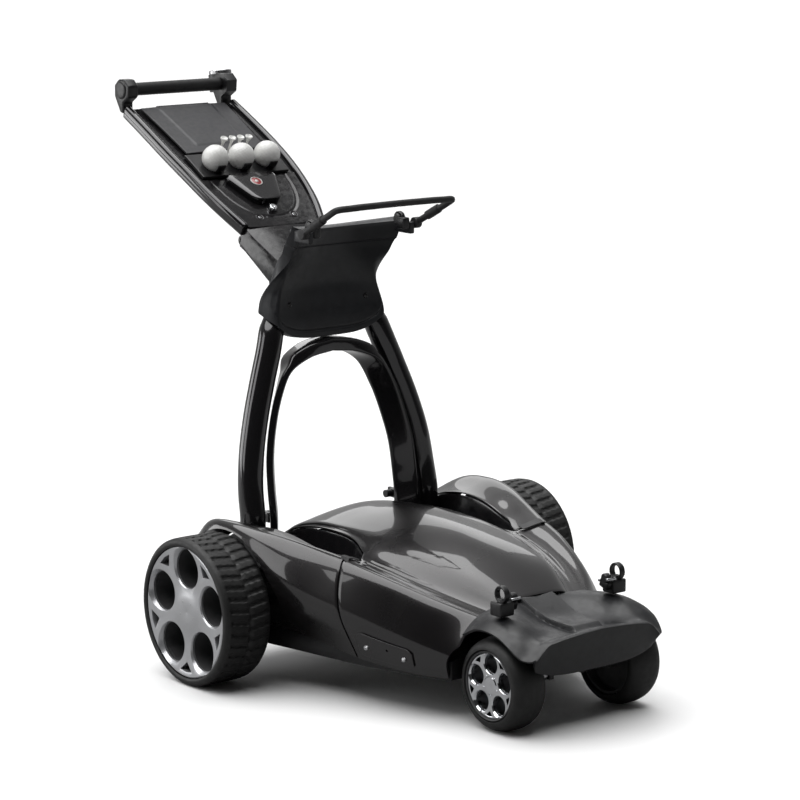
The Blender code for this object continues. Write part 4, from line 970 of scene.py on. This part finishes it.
def make_board():
    """The gloss deck, with a U-shaped groove round the control pod."""
    rows = []
    for y in np.linspace(0.202, 0.486, 180):
        half = handle_line(y)[1] - 0.0075
        row = []
        for x in np.linspace(-half, half, 110):
            shape = (abs(x) / 0.072) ** 2.6 + (max(0.0, 0.318 - y) / 0.099) ** 2.6
            off = (shape ** (1 / 2.6) - 1) * 0.075 if y < 0.305 else 1.0
            groove = 0.0014 * math.exp(-(off / 0.0012) ** 2)
            sink = 0.0008 * (1 - ease(off, -0.0035, -0.0005)) if y < 0.305 else 0.0008
            dish = 0.0022 * (x / half) ** 2 * (1 if y < 0.30 else 0)
            row.append(on_handle(x, y, -0.006 - groove - sink * 0.6 + dish))
        rows.append(row)
    board = sheet(rows, 0.016, (0, -0.5, 0.8), 0.0010)
    rows = [[on_handle(x, y, 0.010) for x in np.linspace(-0.060, 0.060, 5)] for y in np.linspace(0.372, 0.470, 8)]
    store = sheet(rows, 0.026, (0, -0.5, 0.8))
    pocket = cylinder(on_handle(0, BUTTON_Y, -0.0125), on_handle(0, BUTTON_Y, 0.004), 0.0072, 32)
    slope = handle_slope(0.210)
    knuckle = cylinder((-0.0190, HINGE_Y, HINGE_Z), (0.0190, HINGE_Y, HINGE_Z), 0.0085, 40, bevel=0.0008)
    tongue = box((0, HINGE_Y + 0.0045 * math.cos(slope) - 0.007 * math.sin(slope),
                  HINGE_Z + 0.0045 * math.sin(slope) + 0.007 * math.cos(slope)), (0.038, 0.0072, 0.014), slope)
    board = together(cut(board, store, pocket, *ball_seats()), knuckle, tongue)
    piece("handle_deck", board, GLOSS, "handle", ["handle_board"], 38)
    for label, side in SIDES:
        path = [on_handle(side * handle_line(y)[1], y, -0.009) for y in np.linspace(0.2025, 0.4830, 90)]
        section = []
        for a, b in rounded_section(0.0070, 0.0110, 48, 2.6):
            notch = 0.0011 * math.exp(-((b - 0.0015) / 0.0012) ** 2)
            section.append((a - math.copysign(notch, a), b))
        rail = bevelled(swept(path, section, (1, 0, 0)), 0.0012, 2, 70)
        piece(f"rail_{label}", rail, FRAME_LACQUER, "handle", [f"side_rail_{label}"], 45)
    eyelets, cores = [], []
    for x in (-0.033, 0.033):
        up = handle_up(0.2185)
        base = on_handle(x, 0.2185, -0.0072)
        eyelets.append(turned([(0, 0.0042), (0, 0.0078), (0.0016, 0.0074), (0.0022, 0.0064), (0.0020, 0.0048),
                               (0.0010, 0.0042)], base, 40, up))
        cores.append(screw(base, up, 0.0040, 0.0018))
    piece("deck_eyelets", together(*eyelets), GLOSS, "handle")
    piece("deck_screws", together(*cores), STEEL, "handle")


def make_grip():
    for label, side in SIDES:
        bracket = from_node(f"grip_bracket_{label}", 0.0030, 4, 30)
        cap = cylinder((0.0990 * side, 0.498, 0.833), (0.1085 * side, 0.498, 0.833), 0.0150, 48, bevel=0.0035)
        piece(f"grip_ear_{label}", together(bracket, cap), SATIN, "handle",
              [f"grip_bracket_{label}"], 36)
    profile = [(-0.0856, ON_AXIS)]
    count = 58
    for k in range(count):
        x = -0.0856 + 0.1712 * k / (count - 1)
        rib = 0.0003 if k % 2 else 0.0
        profile.append((x, 0.0105 - rib - (0.0012 if k in (0, count - 1) else 0.0)))
    profile.append((0.0856, ON_AXIS))
    piece("grip_sleeve", turned(profile, (0, 0.498, 0.833), 48), SOFT, "handle", ["grip_bar"], 50)
    axis = Vector((0, 0.0009, 0.0060)).normalized()
    ring = turned([(0, 0.0095), (0, 0.0185), (0.0050, 0.0185), (0.0059, 0.0176), (0.0059, 0.0112), (0.0048, 0.0095)],
                  (0.1065, 0.5241, 0.8466), 64, axis)
    piece("umbrella_ring", ring, STEEL, "handle", ["umbrella_insert"], 34)


def golf_ball(centre):
    """A ball with evenly spread dimples."""
    bm = bmesh.new()
    bmesh.ops.create_icosphere(bm, subdivisions=6, radius=1.0)
    count = 332
    tree = KDTree(count)
    for k in range(count):
        z = 1 - (2 * k + 1) / count
        r = math.sqrt(1 - z * z)
        turn = k * math.pi * (3 - math.sqrt(5))
        tree.insert(Vector((r * math.cos(turn), r * math.sin(turn), z)), k)
    tree.balance()
    for vert in bm.verts:
        distance = tree.find(vert.co)[2]
        vert.co *= 0.02135 - 0.00028 * (1 - ease(distance, 0.030, 0.088))
    bm.transform(Matrix.Translation(centre))
    return facing_out(bm)


def trapezium(y0, y1, half0, half1, up, corner, count=8):
    """An outline on the handle with round corners, from the low edge to the high one."""
    corners = [(-half0, y0), (half0, y0), (half1, y1), (-half1, y1)]
    outline = []
    for i, here in enumerate(corners):
        before, after = Vector(corners[i - 1]), Vector(corners[(i + 1) % 4])
        here = Vector(here)
        a = here + (before - here).normalized() * corner
        b = here + (after - here).normalized() * corner
        for k in range(count):
            t = k / (count - 1)
            x, y = a * (1 - t) ** 2 + here * 2 * t * (1 - t) + b * t * t
            outline.append(on_handle(x, y, up))
    return outline


def make_handle_top():
    rows = []
    for y in np.linspace(0.357, 0.478, 90):
        half = 0.076 + 0.006 * (y - 0.357) / 0.119
        row = []
        for x in np.linspace(-half, half, 100):
            inner = 0.048 + 0.10 * (y - 0.375) * 0.5
            inside = 1 - ease(abs(x), inner - 0.003, inner + 0.001)
            inside *= ease(y, 0.370, 0.376) * (1 - ease(y, 0.470, 0.477))
            row.append(on_handle(x, y, 0.0001 + 0.0012 * inside + 0.0012 * (1 - (x / half) ** 2)))
        rows.append(row)
    lid = sheet(rows, 0.0035, (0, -0.5, 0.8), 0.0010)
    bead = on_handle(0, 0.4790, -0.0020)
    lid = together(lid, cylinder(bead - Vector((0.050, 0, 0)), bead + Vector((0.050, 0, 0)), 0.0030, 24, bevel=0.0005))
    piece("lid_panel", lid, PANEL, "storage_lid", ["storage_lid"], 34)

    rows = [[on_handle(x, y, -0.0005) for x in np.linspace(-0.083, 0.083, 60)] for y in np.linspace(0.302, 0.354, 24)]
    tray = sheet(rows, 0.0045, (0, -0.5, 0.8), 0.0008)
    piece("ball_rack", cut(tray, *ball_seats()), SATIN, "handle", ["ball_tray"], 36)
    tabs = []
    for name, x in (("right", -0.050), ("middle", 0.0), ("left", 0.050)):
        centre = on_handle(x, 0.324, 0.0145)
        piece(f"dimpled_ball_{name}", golf_ball(centre), WHITE, "handle", [f"golf_ball_{name}"], 60)
        slope = handle_slope(0.324)
        sections = []
        for angle in np.linspace(math.radians(176), math.radians(222), 12):
            ring = []
            for radius, shift in ((0.0218, -0.0075), (0.0218, 0.0075), (0.0236, 0.0068), (0.0236, -0.0068)):
                along, up = radius * math.cos(angle), radius * math.sin(angle)
                ring.append(centre + Vector((shift, along * math.cos(slope) - up * math.sin(slope),
                                             along * math.sin(slope) + up * math.cos(slope))))
            sections.append(ring)
        tabs.append(bevelled(loft(sections), 0.0005, 2, 50))
    piece("ball_tabs", together(*tabs), SATIN, "handle")

    tees = []
    for x in (-0.0215, -0.0055, 0.0105, 0.0265):
        base = on_handle(x, 0.3475, 0.0030)
        axis = handle_up(0.3475)
        tees.append(turned([(-0.0010, ON_AXIS), (-0.0010, 0.0016), (0.0180, 0.0018), (0.0240, 0.0034), (0.0275, 0.0060),
                            (0.0290, 0.0060), (0.0296, 0.0053), (0.0278, 0.0030), (0.0274, ON_AXIS)], base, 32, axis))
    piece("tees", together(*tees), TEE, "handle")

    sections = [trapezium(0.243, 0.297, 0.024 * w, 0.0503 * w, up, 0.011)
                for w, up in ((1.0, -0.0066), (1.0, 0.0010), (0.985, 0.0026), (0.95, 0.0038), (0.88, 0.0046),
                              (0.70, 0.0050))]
    piece("pod", loft(sections), FRAME_LACQUER, "handle", ["control_pod"], 40)
    up = handle_up(0.279)
    centre = on_handle(0, 0.279, 0.0049)
    badge = turned([(-0.0010, 0.0085), (-0.0010, 0.0102), (0.0004, 0.0102), (0.0008, 0.0098), (0.0008, 0.0089),
                    (0.0004, 0.0085)],
                   centre, 64, up)
    dot = turned([(-0.0010, ON_AXIS), (-0.0010, 0.0030), (0.0010, 0.0030), (0.0012, 0.0024), (0.0012, ON_AXIS)],
                 centre, 40, up)
    piece("badge_ring", together(badge, dot), PALE, "handle")
    disc = turned([(-0.0010, ON_AXIS), (-0.0010, 0.0084), (0.0002, 0.0084), (0.0005, 0.0078), (0.0005, ON_AXIS)],
                  centre, 64, up)
    piece("badge_disc", disc, RED, "handle")
    bezel = turned([(0, 0.0074), (0, 0.0094), (0.0012, 0.0092), (0.0014, 0.0080), (0.0008, 0.0074)],
                   on_handle(0, BUTTON_Y, -0.0070), 48, handle_up(BUTTON_Y))
    piece("button_bezel", bezel, GLOSS, "handle")
    button = turned([(0, ON_AXIS), (0, 0.0065), (0.0048, 0.0065), (0.0058, 0.0058), (0.0061, 0.0040),
                     (0.0056, ON_AXIS)],
                    on_handle(0, BUTTON_Y, -0.0055), 48, handle_up(BUTTON_Y))
    piece("button_cap", button, CHROME, "power_button", ["power_button"], 40)


# ---- CAD nodes that stay, with finished materials and softened edges -------------------------
def finish_cad_nodes():
    kept = {"rear_panel": SATIN, "battery_door": SATIN, "chassis_tray": SATIN}
    for node, mat in kept.items():
        body = "battery_door" if node == "battery_door" else "chassis"
        piece(f"{node}_finished", from_node(node, 0.0009, 2, 40), mat, body, [node], 36)
    for names, mat in ((("motor_left", "motor_right"), SATIN), (("gearbox_left", "gearbox_right"), CELL),
                       (("battery_pack", "control_unit"), CELL),
                       (("fold_lock_left", "fold_lock_right"), SATIN),
                       (("wheel_shaft_left", "wheel_shaft_right", "motor_pinion_left", "motor_pinion_right",
                         "front_axle", "frame_axle", "handle_hinge_pin"), STEEL)):
        for node in names:
            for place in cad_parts[node].material_slots:
                place.material = mat
    screws = []
    for x, z in ((-0.205, 0.110), (0.205, 0.110), (-0.150, 0.152), (0.150, 0.152)):
        screws.append(screw((x, 0.1083, z), (0, 1, 0), 0.0040, 0.0020))
    piece("panel_screws", together(*screws), STEEL, "chassis")


# ---- studio -------------------------------------------------------------------------------
def area_light(name, place, aim, size, power, size_y=None):
    data = bpy.data.lights.new(name, "AREA")
    data.shape = "RECTANGLE"
    data.size, data.size_y = size, size_y or size
    data.energy = power
    lamp = bpy.data.objects.new(name, data)
    bpy.context.scene.collection.objects.link(lamp)
    lamp.location = place
    lamp.rotation_euler = (Vector(aim) - Vector(place)).to_track_quat("-Z", "Y").to_euler()


def make_studio():
    """White floor, soft light from above, and panels whose reflections draw the gloss."""
    bm = bmesh.new()
    bmesh.ops.create_circle(bm, cap_ends=True, segments=128, radius=40)
    mesh = bpy.data.meshes.new("floor")
    bm.to_mesh(mesh)
    bm.free()
    floor = bpy.data.objects.new("floor", mesh)
    mat = new_material("floor_white", (0.90, 0.90, 0.90), 0.55)
    vary(mat, noise(mat, 2.0, 2.0), "Base Color", (0.895, 0.895, 0.895), (0.905, 0.905, 0.905))
    nodes, links = mat.node_tree.nodes, mat.node_tree.links
    dim = nodes.new("ShaderNodeBsdfDiffuse")
    dim.inputs["Color"].default_value = (0.28, 0.28, 0.28, 1)
    ray = nodes.new("ShaderNodeLightPath")
    mix = nodes.new("ShaderNodeMixShader")
    links.new(ray.outputs["Is Camera Ray"], mix.inputs["Fac"])
    links.new(dim.outputs["BSDF"], mix.inputs[1])
    links.new(nodes["Principled BSDF"].outputs["BSDF"], mix.inputs[2])
    links.new(mix.outputs["Shader"], nodes["Material Output"].inputs["Surface"])
    mesh.materials.append(mat)
    bpy.context.scene.collection.objects.link(floor)
    make_world()
    sun = bpy.data.lights.new("soft_sky", "SUN")
    sun.energy, sun.angle = 3.7, math.radians(75)
    lamp = bpy.data.objects.new("soft_sky", sun)
    bpy.context.scene.collection.objects.link(lamp)
    lamp.rotation_euler = Vector((0.12, -0.16, -1.0)).to_track_quat("-Z", "Y").to_euler()
    area_light("backdrop", (2.2, 2.6, 1.9), (0, 0, 0.3), 2.4, 11, 1.2)
    area_light("left_back", (-2.3, 2.8, 0.8), (0, 0, 0.2), 2.0, 26, 1.4)
    area_light("left_side", (-2.8, 0.9, 1.3), (0, 0, 0.2), 1.0, 14, 1.8)
    bpy.context.scene.view_settings.view_transform = "Standard"


def make_world():
    """A dim room that is bright behind the trolley; what the camera sees directly is plain white."""
    world = bpy.data.worlds.new("studio")
    bpy.context.scene.world = world
    world.use_nodes = True
    nodes, links = world.node_tree.nodes, world.node_tree.links
    place = nodes.new("ShaderNodeTexCoord")
    facing = nodes.new("ShaderNodeVectorMath")
    facing.operation = "DOT_PRODUCT"
    facing.inputs[1].default_value = (0.55, 0.70, 0.45)
    links.new(place.outputs["Generated"], facing.inputs[0])
    ramp = nodes.new("ShaderNodeMapRange")
    ramp.inputs["From Min"].default_value = -0.2
    ramp.inputs["From Max"].default_value = 1.0
    ramp.inputs["To Min"].default_value = 0.03
    ramp.inputs["To Max"].default_value = 0.36
    links.new(facing.outputs["Value"], ramp.inputs["Value"])
    backdrop = nodes["Background"]
    links.new(ramp.outputs["Result"], backdrop.inputs["Strength"])
    plain = nodes.new("ShaderNodeBackground")
    plain.inputs["Strength"].default_value = 1.0
    plain.inputs["Color"].default_value = (1, 1, 1, 1)
    backdrop.inputs["Color"].default_value = (1, 1, 1, 1)
    ray = nodes.new("ShaderNodeLightPath")
    mix = nodes.new("ShaderNodeMixShader")
    links.new(ray.outputs["Is Camera Ray"], mix.inputs["Fac"])
    links.new(backdrop.outputs["Background"], mix.inputs[1])
    links.new(plain.outputs["Background"], mix.inputs[2])
    links.new(mix.outputs["Shader"], nodes["World Output"].inputs["Surface"])


def make_camera():
    data = bpy.data.cameras.new("camera")
    data.lens, data.sensor_width = 136.04, 36.0
    data.clip_end = 100
    camera = bpy.data.objects.new("camera", data)
    bpy.context.scene.collection.objects.link(camera)
    camera.location = (-2.7655, -3.5793, 1.2607)
    camera.rotation_euler = (math.radians(79.105), 0, math.radians(-38.381))
    bpy.context.scene.camera = camera


make_camera()
make_studio()
make_fenders()
make_bonnet()
make_seam_shade_strips()
make_hinge_wells()
make_side_covers()
make_rear_wheels()
make_front_wheels()
make_bag_rest()
make_lower_clips()
make_legs()
make_arch()
make_cradle()
make_neck()
make_bail()
make_board()
make_grip()
make_handle_top()
finish_cad_nodes()
